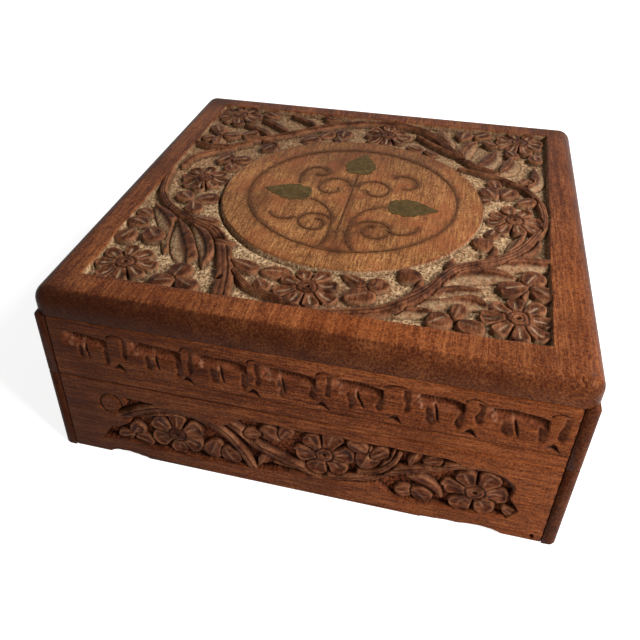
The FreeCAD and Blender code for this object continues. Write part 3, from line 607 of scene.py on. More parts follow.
def carve_strip(u, v):
    """A lid strip, seen from outside: a row of scoops with a pecked ground between rounded tongues."""
    relief = Relief(u, v)
    grid_u, grid_v = np.meshgrid(u, v, indexing="ij")
    waver = 0.3 * mottle(u, v, 4.0, 7)
    cut = np.zeros_like(grid_u)
    lit = np.zeros_like(grid_u)
    for number, (left, right, slot) in enumerate(scoops):
        length = right - left
        share = (2 * grid_u - left - right) / length
        crown = scoop_crown - 1.2 * share ** 2 - 0.5 * share + 0.3 * math.sin(number * 1.7)
        steep = np.minimum(right - grid_u, crown - grid_v) + waver
        within = np.minimum(steep * wall_slope, (grid_u - left + waver) * scoop_left_slope)
        ramp = scoop_depth * ease(scoop_low - 0.6, scoop_low + 4.4, grid_v + 2 * waver)
        ribs = 0.5 + 0.5 * np.cos(2 * math.pi * (grid_u + 1.5 * waver) / rib_pitch)
        ramp = ramp + rib_depth * ribs * ease(60.5, 62.5, grid_v)
        cut = np.maximum(cut, np.clip(within, 0, ramp))
        # Painted highlight on the left wall of each scoop and beside its slot, where the light from the right
        # falls
        lit += bump(grid_u - left - 1.8 - 0.25 * (crown - grid_v), 1.6) + 0.8 * bump(grid_u - slot + 1.1, 0.9)
        narrowing = 0.4 + 0.6 * ease(slot_low, scoop_low + 2, grid_v)
        lean = slot_lean * (scoop_low - grid_v) + 1.5 * waver
        slot_cut = slot_depth * bump(grid_u - slot - lean, slot_half_width * narrowing)
        slot_cut = slot_cut * ease(slot_low - 0.4, slot_low + 1.2, grid_v) * (grid_v < scoop_crown - 2)
        cut = np.maximum(cut, slot_cut)
        following = scoops[number + 1][0] if number + 1 < len(scoops) else right + 6.0
        tongue = (right + following) / 2
        half = (following - right) / 2 + 0.4
        flutes = [(left + a * length, left + b * length, flute_low, flute_high) for a, b in flute_shares]
        flutes.append((following - tongue_flute_width, following + 0.4, flute_low + 2.4, scoop_crown))
        for flute_left, flute_right, low, crest in flutes:
            aside = (2 * grid_u - flute_left - flute_right) / (flute_right - flute_left)
            bottom = low + 0.8 * math.sin(1.3 * flute_left) + 1.6 * (aside + 0.2) ** 2
            rise = np.clip((flute_right - grid_u) / (flute_right - flute_left), 0, 1) ** 0.8
            facet = flute_depth * rise * ease(-0.2, 0.9, grid_u - flute_left + 2.5 * waver)
            fade = ease(bottom + 2 * waver, bottom + 1.6 + 2 * waver, grid_v)
            fade = fade * (1 - ease(crest - 1.0, crest + 0.6, grid_v))
            cut = np.maximum(cut, facet * fade)
        bow = (grid_u - tongue) / half
        arch = tongue_crown - 1.6 * np.abs(bow) ** 2.4
        arch_cut = arch_depth * bump(grid_v - arch, 0.6) * (np.abs(bow) < 1) * (0.55 - 0.45 * bow)
        cut = np.maximum(cut, arch_cut)
        notch = tuple((tongue + a, b) for a, b in notch_outline)
        cut = np.maximum(cut, np.clip(-notch_slope * relief.polygon(notch), 0, notch_depth))
    line = scribe_height + 0.2 * mottle(u, v, 20.0, 8)
    cut += scribe_depth * bump(grid_v - line, 0.4) * ease(-60, -20, grid_u)
    relief.height = -cut
    relief.work = 0.7 * ease(0.1, 0.5, cut)
    # On the strip, the pale values are painted highlights on those walls
    relief.pale = 0.65 * lit * ease(0.2, 0.6, cut) * ease(-0.5, 0.5, mottle(u, v, 0.9, 12))
    relief.finish(31, board_step, 1.0, 3.0, 0.15, 0.0)
    # Painted shade and dirt darken the scribe line
    relief.cavity = np.maximum(relief.cavity, 0.75 * bump(grid_v - line, 0.5) * ease(-60, -20, grid_u))
    relief.dust = 0.6 * ease(0.3, 1.2, cut) * ease(scoop_low - 1.5, scoop_low + 1.5, grid_v)
    relief.work *= 1 - relief.dust
    return relief


def make_mesh(name, places, faces):
    """A mesh from places in millimetres and faces, closed up and with its faces turned outward."""
    mesh = bpy.data.meshes.new(name)
    mesh.from_pydata((np.asarray(places) * mm).tolist(), [], faces)
    shape = bmesh.new()
    shape.from_mesh(mesh)
    bmesh.ops.remove_doubles(shape, verts=shape.verts, dist=0.002 * mm)
    bmesh.ops.dissolve_degenerate(shape, edges=shape.edges, dist=0.001 * mm)
    bmesh.ops.recalc_face_normals(shape, faces=shape.faces)
    shape.to_mesh(mesh)
    shape.free()
    mesh.polygons.foreach_set("use_smooth", [True] * len(mesh.polygons))
    mesh.update()
    return mesh


def add_piece(name, mesh, body, node, material):
    """A piece that stands for a node and rides on its body."""
    piece = bpy.data.objects.new(name, mesh)
    bpy.context.scene.collection.objects.link(piece)
    mesh.materials.append(material)
    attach(piece, body)
    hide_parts(node)
    return piece


def sample(relief, field, u, v):
    """Values of a field between its cells."""
    place_u = np.interp(u, relief.u, np.arange(len(relief.u)))
    place_v = np.interp(v, relief.v, np.arange(len(relief.v)))
    i = np.minimum(place_u.astype(int), len(relief.u) - 2)
    j = np.minimum(place_v.astype(int), len(relief.v) - 2)
    a = place_u - i
    b = place_v - j
    return ((field[i, j] * (1 - a) + field[i + 1, j] * a) * (1 - b)
            + (field[i, j + 1] * (1 - a) + field[i + 1, j + 1] * a) * b)


def paint(mesh, relief, u, v, on_face, extras):
    """Writes the relief's fields for the material, and further fields, on the points of a mesh."""
    fields = {name: sample(relief, getattr(relief, name), u, v) * on_face
              for name in ("dust", "pit", "work", "pale", "cavity", "edge")}
    fields.update(extras)
    for name, values in fields.items():
        layer = mesh.attributes.new(name, "FLOAT", "POINT")
        layer.data.foreach_set("value", np.asarray(values, np.float32))


def points_of(mesh):
    """The points of a mesh in millimetres, one row each."""
    flat = np.empty(len(mesh.vertices) * 3, np.float32)
    mesh.vertices.foreach_get("co", flat)
    return flat.reshape(-1, 3).astype(float) / mm


def thin_out(mesh, triangles):
    """The mesh with about this many triangles, fewest where it is flat."""
    holder = bpy.data.objects.new("holder", mesh)
    bpy.context.scene.collection.objects.link(holder)
    count = sum(len(face.vertices) - 2 for face in mesh.polygons)
    thin = holder.modifiers.new("thin", "DECIMATE")
    thin.ratio = min(1.0, triangles / count)
    seen = holder.evaluated_get(bpy.context.evaluated_depsgraph_get())
    result = bpy.data.meshes.new_from_object(seen)
    bpy.data.objects.remove(holder)
    return result


def slab_mesh(relief):
    """The top slab: its carved face, the roundover down to the upright edge, and the underside."""
    top = slab_high.z
    rows, columns = relief.height.shape
    grid_u, grid_v = np.meshgrid(relief.u, relief.v, indexing="ij")
    face = np.stack([grid_u, grid_v, top + relief.height], -1).reshape(-1, 3)
    index = np.arange(rows * columns).reshape(rows, columns)
    quads = np.stack([index[:-1, :-1], index[1:, :-1], index[1:, 1:], index[:-1, 1:]], -1)
    faces = quads.reshape(-1, 4).tolist()
    fans = {index[0, 0]: 180, index[-1, 0]: 270, index[-1, -1]: 0, index[0, -1]: 90}
    border = np.concatenate([index[:-1, 0], index[-1, :-1], index[:0:-1, -1], index[0, :0:-1]])
    cells, normals = [], []
    for cell in border:
        if cell in fans:
            for angle in np.radians(np.linspace(fans[cell], fans[cell] + 90, 9)):
                cells.append(cell)
                normals.append((math.cos(angle), math.sin(angle)))
        else:
            x, y = face[cell, :2]
            on_side = abs(abs(x) - relief.u[-1]) < 0.01
            cells.append(cell)
            normals.append((math.copysign(1, x), 0) if on_side else (0, math.copysign(1, y)))
    outline = face[cells, :2]
    normals = np.array(normals)
    at_corner = np.isin(cells, list(fans))[:, None]
    corner_pull = np.where(at_corner, normals - np.sign(outline), 0) * (slab_corner / roundover - 1)
    profile = [(roundover * math.cos(angle), top - roundover * (1 - math.sin(angle)))
               for angle in np.radians(np.linspace(90, 0, 9)[1:])]
    profile += [(roundover, slab_low.z + eased_edge),
                (roundover - 0.3 * eased_edge, slab_low.z + 0.3 * eased_edge),
                (roundover - eased_edge, slab_low.z)]
    places = [face]
    previous = np.array(cells)
    for number, (out, height) in enumerate(profile):
        ring = outline + normals * out + corner_pull * out
        places.append(np.column_stack([ring, np.full(len(ring), height)]))
        current = np.arange(len(ring)) + rows * columns + number * len(ring)
        for a, b, c, d in zip(previous, np.roll(previous, -1), np.roll(current, -1), current):
            faces.append((a, d, c, b) if a != b else (a, d, c))
        previous = current
    faces.append(previous.tolist())
    return make_mesh("carved_top_full", np.concatenate(places), faces)


def corner_inset(u, reach):
    """How far a rounded plan corner draws a side board's face back near its ends."""
    past = np.clip(np.abs(u) - reach + board_corner, 0, board_corner)
    return board_corner - np.sqrt(board_corner ** 2 - past ** 2)


def board_mesh(name, relief, low, high, rounded, inner, to_world, chipped, sunk_nails):
    """A board as closed sections along it: the carved face, then the inner points of each section."""
    u = relief.u
    v = relief.v
    grid_u, grid_v = np.meshgrid(u, v, indexing="ij")
    depth = -relief.height
    if rounded:
        depth += corner_inset(grid_u, u[-1])
    else:
        depth += eased_edge * (1 - ease(0, 2 * eased_edge, u[-1] - np.abs(grid_u))) ** 2
    depth += eased_edge * (1 - ease(0, 2 * eased_edge, grid_v - low)) ** 2
    depth += eased_edge * (1 - ease(0, 2 * eased_edge, high - grid_v)) ** 2
    for nail_u, nail_v in sunk_nails:
        hole = np.hypot(grid_u - nail_u, grid_v - nail_v) < nail_radius
        depth = np.where(hole, np.maximum(depth, nail_floor), depth)
    height = grid_v.copy()
    chip = np.zeros(len(u))
    for middle, half, rise in chipped:
        chip = np.maximum(chip, rise * np.clip(1 - ((u - middle) / half) ** 2, 0, 1) ** 0.7)
    chip = np.maximum(chip + 0.25 * mottle(u, np.array([0.0, 1.0]), 2.5, 9)[:, 0] * (chip > 0), 0)
    height += chip[:, None] * np.clip(1 - (grid_v - low) / chip_rise, 0, 1)
    sections = []
    for number in range(len(u)):
        back = [(d, z + (0.6 * chip[number] if z <= low else 0)) for d, z in inner(number)]
        face = np.stack([np.maximum(depth[number], 0), height[number]], -1)
        sections.append(np.concatenate([face, np.array(back)]))
    per = len(sections[0])
    flat = [np.column_stack([np.full(per, along), section]) for along, section in zip(u, sections)]
    faces = []
    for number in range(len(u) - 1):
        start = number * per
        for point in range(per):
            following = (point + 1) % per
            faces.append((start + point, start + following, start + per + following, start + per + point))
    faces.append(list(range(per)))
    faces.append(list(range((len(u) - 1) * per, len(u) * per)))
    return make_mesh(name, to_world(np.concatenate(flat)), faces)


# Places of a board's points, given along the board, in from its face and up
def front_world(flat):
    return np.column_stack([flat[:, 0], -half_depth + flat[:, 1], flat[:, 2]])


def right_world(flat):
    return np.column_stack([half_width - flat[:, 1], flat[:, 0], flat[:, 2]])


def left_world(flat):
    return np.column_stack([-half_width + flat[:, 1], -flat[:, 0], flat[:, 2]])


class Shader:
    """A node material, made node by node."""

    def __init__(self, name):
        self.material = bpy.data.materials.new(name)
        self.material.use_nodes = True
        self.tree = self.material.node_tree
        self.surface = self.tree.nodes["Principled BSDF"]

    def add(self, kind, inputs=None, **settings):
        """A node with its settings, and its inputs set to values or joined to other nodes' outputs."""
        node = self.tree.nodes.new("ShaderNode" + kind)
        for key, value in settings.items():
            setattr(node, key, value)
        for key, value in (inputs or {}).items():
            self.join(value, node.inputs[key])
        return node

    def join(self, value, socket):
        if isinstance(value, bpy.types.NodeSocket):
            self.tree.links.new(value, socket)
        else:
            socket.default_value = value

    def set(self, name, value):
        """Sets an input of the surface, or joins it to another node's output."""
        self.join(value, self.surface.inputs[name])

    def raised(self, strength, distance, height):
        """Fine relief that only the light shows."""
        bumped = self.add("Bump", {"Strength": strength, "Distance": distance, "Height": height})
        self.set("Normal", bumped.outputs[0])

    def math(self, operation, a, b=0.5, clamp=False):
        return self.add("Math", {0: a, 1: b}, operation=operation, use_clamp=clamp).outputs[0]

    def times(self, *values):
        result = values[0]
        for value in values[1:]:
            result = self.math("MULTIPLY", result, value)
        return result

    def mix(self, share, a, b, blend="MIX"):
        node = self.add("Mix", {0: share, 6: a, 7: b}, data_type="RGBA", blend_type=blend)
        return node.outputs[2]

    def ramp(self, value, *stops):
        node = self.add("ValToRGB", {0: value})
        ramp = node.color_ramp
        for number, (place, colour) in enumerate(stops):
            stop = ramp.elements[number] if number < 2 else ramp.elements.new(place)
            stop.position = place
            stop.color = colour
        return node.outputs[0]

    def range(self, value, low, high, to_low=0.0, to_high=1.0):
        return self.add("MapRange", {0: value, 1: low, 2: high, 3: to_low, 4: to_high}).outputs[0]

    def noise(self, place, scale, detail=3.0, roughness=0.55, distortion=0.0):
        return self.add("TexNoise", {"Vector": place, "Scale": scale, "Detail": detail,
                                     "Roughness": roughness, "Distortion": distortion}).outputs[0]

    def attribute(self, name):
        return self.add("Attribute", attribute_name=name).outputs["Fac"]

    def place(self, scale=(1, 1, 1), offset=(0, 0, 0)):
        spot = self.add("TexCoord").outputs["Object"]
        return self.add("Mapping", {"Vector": spot, "Scale": scale, "Location": offset}).outputs[0]


def linear(red, green, blue):
    """A colour from its everyday values of 0 to 255."""
    values = []
    for value in (red, green, blue):
        share = value / 255
        values.append(share / 12.92 if share <= 0.04045 else ((share + 0.055) / 1.055) ** 2.4)
    return (*values, 1.0)


class Grain:
    """Values of wood whose fibres run along an axis: figure, fibre, pores, blotches and fine speckle."""

    def __init__(self, shader, axis, offset=(0, 0, 0)):
        def stretched(along, across):
            scale = [across, across, across]
            scale["xyz".index(axis)] = along
            return shader.place(tuple(scale), offset)
        self.figure = shader.noise(stretched(8, 130), 1.0, 5.0, 0.62, 0.6)
        self.fibre = shader.noise(stretched(70, 1000), 1.0, 4.0, 0.65, 0.2)
        self.pores = shader.noise(stretched(200, 1500), 1.0, 2.0, 0.5)
        self.blotch = shader.noise(shader.place((1, 1, 1), offset), 38.0, 5.0, 0.65)
        self.speckle = shader.noise(shader.place((1, 1, 1), offset), 1300.0, 2.0, 0.6)

    def tone(self, shader, dark, middle, light, figured=0.3, fibrous=0.35, speckled=0.35, spread=0.09):
        """Colour of plain wood, with shares of figure, fibre and speckle, and how far the tones spread."""
        mixed = shader.math("ADD", shader.times(self.figure, figured), shader.times(self.fibre, fibrous))
        mixed = shader.math("ADD", mixed, shader.times(self.speckle, speckled))
        tone = shader.ramp(mixed, (0.5 - spread, dark), (0.5, middle), (0.5 + spread, light))
        tone = shader.mix(shader.range(self.blotch, 0.46, 0.68, 0.0, 0.5), tone, dark)
        return shader.mix(shader.range(self.pores, 0.54, 0.64, 0.0, 0.6), tone, dark)

    def height(self, shader):
        """Height of the fibres and pores for a bump."""
        return shader.math("SUBTRACT", self.fibre, shader.range(self.pores, 0.54, 0.68))


# Specular levels, kept low so that the white surroundings lay no veil over the surfaces
wood_shine = 0.03
metal_shine = 0.08


def plain_wood(name, axis, tones, roughness, offset=(0, 0, 0), seam=None):
    """Waxed wood for boards without carving, with dirt along an edge at the height of a seam."""
    shader = Shader(name)
    grain = Grain(shader, axis, offset)
    tone = grain.tone(shader, *tones)
    if seam is not None:
        height = shader.add("SeparateXYZ", {0: shader.place()}).outputs[2]
        beside = shader.math("ABSOLUTE", shader.math("SUBTRACT", height, seam * mm))
        tone = shader.mix(shader.range(beside, 0.2 * mm, 0.7 * mm, 0.9, 0.0), tone, dirt_and_shade_tone)
    shader.set("Base Color", tone)
    shader.set("Roughness", shader.range(grain.fibre, 0.2, 0.8, roughness - 0.1, roughness + 0.12))
    shader.set("Specular IOR Level", wood_shine)
    shader.raised(0.35, 0.25 * mm, grain.height(shader))
    return shader.material


def carved_wood(name, axis, tones, shares, work_tones, dust_tones, line_tone, medal_tones=None):
    """Carved and waxed wood: plain faces, darker raised work, dusty punched ground, dirt and painted shade in
    the hollows, wear and painted highlights on the edges, stain and painted shade on the faces, and a warmer
    tone that is partly painted light."""
    shader = Shader(name)
    grain = Grain(shader, axis)
    tone = grain.tone(shader, *tones, *shares)
    if medal_tones:
        medal = grain.tone(shader, *medal_tones, 0.2, 0.4, 0.4, 0.14)
        blush = shader.noise(shader.place((1, 1, 1), (5, 2, 1)), 52.0, 4.0, 0.6, 0.8)
        medal = shader.mix(shader.range(blush, 0.46, 0.64, 0.0, 0.6), medal, blush_tone)
        tone = shader.mix(shader.attribute("medal"), tone, medal)
    # A warmer, lighter tone, partly the wood's own and partly painted light on the front and right
    warmed = shader.times(shader.attribute("warm"), shader.range(grain.speckle, 0.3, 0.6))
    tone = shader.mix(warmed, tone, warm_tone)
    spotted = shader.noise(shader.place((1, 1, 1), (3, 1, 2)), 130.0, 5.0, 0.7)
    mixed = shader.math("ADD", shader.times(spotted, 0.6), shader.times(grain.fibre, 0.4))
    worked = shader.ramp(mixed, (0.41, work_tones[0]), (0.5, work_tones[1]), (0.6, work_tones[2]))
    tone = shader.mix(shader.times(shader.attribute("work"), 0.88), tone, worked)
    # Stains, and painted shade on the faces
    tone = shader.mix(shader.attribute("stain_and_shade"), tone, stain_and_shade_tone)
    grit = shader.noise(shader.place(), 620.0, 4.0, 0.7)
    ground = shader.mix(shader.range(grit, 0.36, 0.62), dust_tones[1], dust_tones[0])
    # Pale dust on the ground, held back where shade is painted
    tone = shader.mix(shader.attribute("dust"), tone, ground)
    # Pale lines: dust in the veins, and on the lid strip painted highlights on the scoops
    lined = shader.times(shader.attribute("pale"), shader.range(grit, 0.3, 0.55, 0.45, 1.0))
    tone = shader.mix(lined, tone, line_tone)
    dots = shader.add("TexVoronoi", {"Vector": shader.place(), "Scale": 900.0}).outputs["Distance"]
    soft = shader.math("MAXIMUM", shader.attribute("dust"), shader.times(shader.attribute("pale"), 0.6))
    punched = shader.times(shader.range(dots, 0.2, 0.45, 1.0, 0.0), soft)
    tone = shader.mix(shader.times(punched, 0.85), tone, dust_tones[2])
    tone = shader.mix(shader.times(shader.attribute("pit"), 0.4), tone, dust_tones[2])
    # Dirt and painted shade in the hollows
    tone = shader.mix(shader.times(shader.attribute("cavity"), 0.9), tone, dirt_and_shade_tone)
    # Wear and painted highlights on the raised edges
    worn_and_highlighted = shader.times(shader.attribute("edge"), shader.range(spotted, 0.36, 0.6))
    tone = shader.mix(shader.times(worn_and_highlighted, 0.6), tone, edge_tone)
    shader.set("Base Color", tone)
    rough = shader.range(grain.fibre, 0.2, 0.8, 0.28, 0.5)
    rough = shader.math("ADD", rough, shader.times(shader.attribute("dust"), 0.4), clamp=True)
    rough = shader.math("ADD", rough, shader.times(shader.attribute("bare"), 0.4), clamp=True)
    shader.set("Roughness", rough)
    shader.set("Specular IOR Level", wood_shine)
    height = shader.math("ADD", grain.height(shader), shader.times(grit, shader.attribute("dust"), 2.0))
    height = shader.math("SUBTRACT", height, shader.times(punched, 1.5))
    shader.raised(0.4, 0.3 * mm, height)
    return shader.material


def metal(name, dark, light, roughness, scale, metallic):
    """Aged metal: tarnish in patches, fine scratches and pits."""
    shader = Shader(name)
    patch = shader.noise(shader.place(), scale, 5.0, 0.65)
    scratch = shader.noise(shader.place((300, 2600, 2600)), 1.0, 2.0)
    tone = shader.mix(shader.range(patch, 0.35, 0.68), dark, light)
    tone = shader.mix(shader.range(scratch, 0.58, 0.72, 0.0, 0.35), tone, light)
    shader.set("Base Color", tone)
    shader.set("Metallic", metallic)
    shader.set("Specular IOR Level", metal_shine)
    shader.set("Roughness", shader.range(patch, 0.3, 0.7, roughness + 0.12, roughness - 0.1))
    shader.raised(0.25, 0.1 * mm, shader.math("ADD", patch, scratch))
    return shader.material


# Materials
# Dark tone of dirt and painted shade in the hollows, and of the dark seams
dirt_and_shade_tone = linear(24, 10, 5)
# Lighter tone of worn edges and of painted highlights
edge_tone = linear(146, 97, 66)
# Dark tone of stains and of painted shade on the faces
stain_and_shade_tone = linear(42, 17, 8)
# Warmer, lighter tone, partly painted light
warm_tone = linear(150, 78, 32)
blush_tone = linear(140, 78, 46)
frame_shares = (0.3, 0.35, 0.35)
front_shares = (0.26, 0.44, 0.3)
frame_tones = (linear(70, 31, 15), linear(118, 64, 36), linear(164, 100, 58))
medal_tones = (linear(82, 46, 24), linear(143, 93, 54), linear(198, 144, 90))
work_tones = (linear(36, 16, 8), linear(74, 39, 23), linear(118, 72, 47))
front_tones = (linear(64, 28, 13), linear(112, 58, 30), linear(146, 86, 50))
front_work = (linear(40, 17, 10), linear(82, 41, 25), linear(126, 76, 51))
top_dust = (linear(212, 180, 138), linear(140, 102, 72), linear(52, 28, 17))
front_dust = (linear(138, 76, 49), linear(84, 41, 25), linear(32, 13, 7))
top_line = linear(196, 158, 124)
# Pale tone of the dust in the veins, and on the lid strip of painted highlights
front_line = linear(176, 122, 92)
top_looks = (frame_tones, frame_shares, work_tones, top_dust, top_line, medal_tones)
front_looks = (front_tones, front_shares, front_work, front_dust, front_line)
top_material = carved_wood("carved_top_wood", "y", *top_looks)
front_material = carved_wood("carved_front_wood", "x", *front_looks)
side_material = carved_wood("carved_side_wood", "y", *front_looks)
base_seam = points_of(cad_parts["base_back_board"].data)[:, 2].max()
lid_seam = points_of(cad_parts["lid_back_strip"].data)[:, 2].min()
back_material = plain_wood("back_wood", "x", front_tones, 0.5, (0, 0, 0), base_seam)
lid_back_material = plain_wood("lid_back_wood", "x", front_tones, 0.5, (0.31, 0.17, 0.23), lid_seam)
panel_tones = (linear(90, 56, 34), linear(132, 92, 58), linear(158, 116, 78))
panel_material = plain_wood("panel_wood", "x", panel_tones, 0.62)
inlay_material = metal("inlay_tarnished_brass", linear(60, 46, 22), linear(90, 70, 36), 0.65, 420.0, 0.08)
wire_material = metal("wire_tarnished_brass", linear(62, 36, 18), linear(98, 62, 34), 0.65, 320.0, 0.08)
hinge_material = metal("hinge_brass", linear(96, 70, 30), linear(176, 138, 70), 0.38, 140.0, 0.95)
nail_material = metal("nail_steel", linear(40, 34, 30), linear(112, 104, 96), 0.5, 400.0, 0.9)

# The top
top_relief = carve_top()
top_mesh = thin_out(slab_mesh(top_relief), top_triangles)
top_mesh.name = "carved_top"
top_places = points_of(top_mesh)
top_places[:, 2] = np.minimum(top_places[:, 2], slab_high.z)
top_mesh.vertices.foreach_set("co", (top_places * mm).ravel().astype(np.float32))
top_mesh.update()
top_u, top_v, top_z = top_places.T
on_top = ((np.abs(top_u) <= top_relief.u[-1] + 0.01) & (np.abs(top_v) <= top_relief.v[-1] + 0.01)
          & (top_z > slab_low.z + 4))

# Soft patches of the top: strength, place and reach along both sides
# Painted shade at the front left and front right of the frame, and along the slab's left side
shade_patches = ((0.25, -64, -93, 36, 8), (0.18, 70, -92, 30, 9))
left_edge_patches = ((0.3, -98, 0, 8, 90),)
smudge_patches = (
    (0.45, 2.4, -8, 2.2, 34), (0.35, 3, -42, 5, 8), (0.3, -8, 30, 3, 12), (0.3, -36, -12, 4, 24),
    (0.3, -17, 14, 6, 9), (0.2, 30, 42, 22, 5), (0.25, 15, -26, 5, 5),
)
# Warmer, lighter patches on the front and right of the slab: partly the wood's tone, partly painted light
warm_patches = ((0.2, 82, -92, 26, 9), (0.5, 22, -91, 34, 7), (0.4, 94, -50, 6, 40), (0.35, -55, -91, 20, 5))
wire_stain = 0.62


def patches(table):
    """The sum of soft patches over the points of the top."""
    total = np.zeros_like(top_u)
    for strength, middle_u, middle_v, reach_u, reach_v in table:
        off_u = (top_u - middle_u) / reach_u
        off_v = (top_v - middle_v) / reach_v
        total += strength * np.exp(-off_u ** 2 - off_v ** 2)
    return total


def halo(node_names):
    """Where wax and dirt have gathered beside thin inlays, over the cells of the top's relief."""
    near = np.zeros_like(top_relief.height)
    for node_name in node_names:
        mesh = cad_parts[node_name].data
        corners = points_of(mesh)
        ends = np.empty(len(mesh.edges) * 2, np.int32)
        mesh.edges.foreach_get("vertices", ends)
        for share in np.linspace(0, 1, 12):
            spots = corners[ends[::2]] * (1 - share) + corners[ends[1::2]] * share
            near[np.searchsorted(top_relief.u, spots[:, 0]), np.searchsorted(top_relief.v, spots[:, 1])] = 1
    return np.clip(2.6 * blur(near, 10), 0, 1)


by_wires = halo(("inlay_ring", "inlay_trunk_wires", "inlay_scroll_wires"))
medal = sample(top_relief, top_relief.medal, top_u, top_v) * on_top
front_face = ease(-half_depth + 9, -half_depth + 1, top_v)
on_frame = np.maximum(np.abs(top_u), np.abs(top_v)) > field_back - 0.5
# Painted shade, written into the stain values: the slab's front face below its edge, more toward the left;
# the left end of the front; the slab's right side below the top; the field toward the left front and toward
# the back; and the frame along its left, back and right
below_edge = front_face * (0.16 + 0.5 * ease(40, -75, top_u)) * ease(81.5, 78, top_z)
left_end = 0.4 * ease(-20, -100, top_u) * front_face
right_end = 0.3 * ease(94, 100, top_u) * ease(82, 78, top_z)
in_field = 0.3 * ease(-10, -80, top_u) * ease(30, -60, top_v) + 0.5 * ease(0, 70, top_v)
along_frame = 0.36 * ease(-80, -92, top_u) + 0.4 * ease(80, 92, top_v) + 0.22 * ease(30, 95, top_u)
stain_and_shade = below_edge + left_end + right_end + in_field * (1 - on_frame) * on_top + along_frame * on_frame
stain_and_shade += patches(shade_patches) + patches(left_edge_patches) * (1 - on_top)
smudge = patches(smudge_patches) + wire_stain * sample(top_relief, by_wires, top_u, top_v)
warm = patches(warm_patches)
paint(top_mesh, top_relief, top_u, top_v, on_top, {
    "medal": medal, "stain_and_shade": np.clip(stain_and_shade + smudge * medal, 0, 0.9), "warm": warm * (1 - medal),
    "bare": top_z < slab_low.z + 0.2})
add_piece("carved_top", top_mesh, "lid", "lid_top_slab", top_material)


# The boards of the base and of the lid
def spaced(reach, steps=()):
    """Places along a board, with the two sides of each step in its section both kept, close at the ends."""
    marks = [-reach + board_corner, *sorted(steps), reach - board_corner]
    runs = [np.linspace(a, b, max(2, int((b - a) / board_step) + 1)) for a, b in zip(marks, marks[1:])]
    ends = reach - board_corner + board_corner * np.sin(np.radians(np.linspace(0, 90, 9)[1:]))
    return np.concatenate([-ends[::-1], *runs, ends])


def make_board(name, node, body, carve, world, z_range, reach, steps, inner, chipped, nails, material):
    """A carved board: its relief, its mesh, its painted values and its place on a body."""
    low, high = z_range
    relief = carve(spaced(reach, steps), np.linspace(low, high, int((high - low) / board_step) + 1))
    mesh = board_mesh(name, relief, low, high, bool(steps), inner, world, chipped, nails)
    x, y, z = points_of(mesh).T
    if world is front_world:
        along, depth = x, y + half_depth
    elif world is right_world:
        along, depth = y, half_width - x
    else:
        along, depth = -y, half_width + x
    from_end = reach - np.abs(along)
    # Painted shade toward the left end of the front boards, besides the dark joints at their ends, and a
    # warmer tone toward the right end that is partly painted light; the side boards are darker all over, and
    # more so toward their ends
    if world is front_world:
        joint = 0.85 * ease(0.9, 0.1, from_end - 0.3 * np.sin(z))
        shade = np.maximum(0.56 * ease(30, -100, along), joint)
        warm_share = 0.3 * ease(0, 95, along)
    else:
        shade = 0.15 + side_end_darkening[world] * ease(6, 2, from_end)
        warm_share = np.zeros_like(along)
    seam = 0.8 * ease(0.9, 0.2, np.abs(z - base_range[1])) * ease(60, -20, along)
    on_face = depth < board_depth + 1.2
    paint(mesh, relief, along, z, on_face, {"stain_and_shade": np.maximum(shade, seam), "warm": warm_share})
    return add_piece(name, mesh, body, node, material)


# How much darker each side board grows toward its ends
side_end_darkening = {left_world: 0.7, right_world: 0.42}
base_range = (base_low.z, base_high.z)
lid_range = (lid_low.z, lid_high.z)
rabbet_height = panel_high.z + fit_gap
rabbet_depth_front = half_depth - panel_high.y - fit_gap
rabbet_depth_side = half_width - panel_high.x - fit_gap
shoulder = half_depth - board_thickness - fit_gap
step_places = (-shoulder, shoulder)
side_places = spaced(side_reach, step_places)
first_step = int(np.argmax(np.isclose(side_places, -shoulder)))
last_step = len(side_places) - 1 - first_step


def side_depth(number):
    """Thickness of a side board at one of its sections: full between the shoulders, a lip beyond them."""
    return board_thickness if first_step < number < last_step else side_lip


def front_base_inner(number):
    return ((board_thickness, base_range[1]), (board_thickness, rabbet_height),
            (rabbet_depth_front, rabbet_height), (rabbet_depth_front, base_range[0]))


def front_lid_inner(number):
    return ((board_thickness, lid_range[1]), (board_thickness, lid_range[0]))


def side_base_inner(number):
    return ((side_depth(number), base_range[1]), (side_depth(number), rabbet_height),
            (rabbet_depth_side, rabbet_height), (rabbet_depth_side, base_range[0]))


def side_lid_inner(number):
    return ((side_depth(number), lid_range[1]), (side_depth(number), lid_range[0]))


def nail_holes(z_range):
    """Where the corner nails' sunk heads show on a side board."""
    middle = half_depth - board_thickness / 2
    heights = [z_range[0] + share * (z_range[1] - z_range[0]) for share in nail_height_shares]
    return [(end * middle, height) for end in (-1, 1) for height in heights]


make_board("carved_base_front", "base_front_board", "base", carve_board, front_world, base_range,
           front_reach, (), front_base_inner, chips, (), front_material)
make_board("carved_lid_front", "lid_front_strip", "lid", carve_strip, front_world, lid_range,
           front_reach, (), front_lid_inner, (), (), front_material)
for side, world in (("left", left_world), ("right", right_world)):
    make_board("carved_base_" + side, "base_%s_board" % side, "base", carve_board, world, base_range,
               side_reach, step_places, side_base_inner, (), nail_holes(base_range), side_material)
    make_board("carved_lid_" + side, "lid_%s_strip" % side, "lid", carve_strip, world, lid_range,
               side_reach, step_places, side_lid_inner, (), nail_holes(lid_range), side_material)

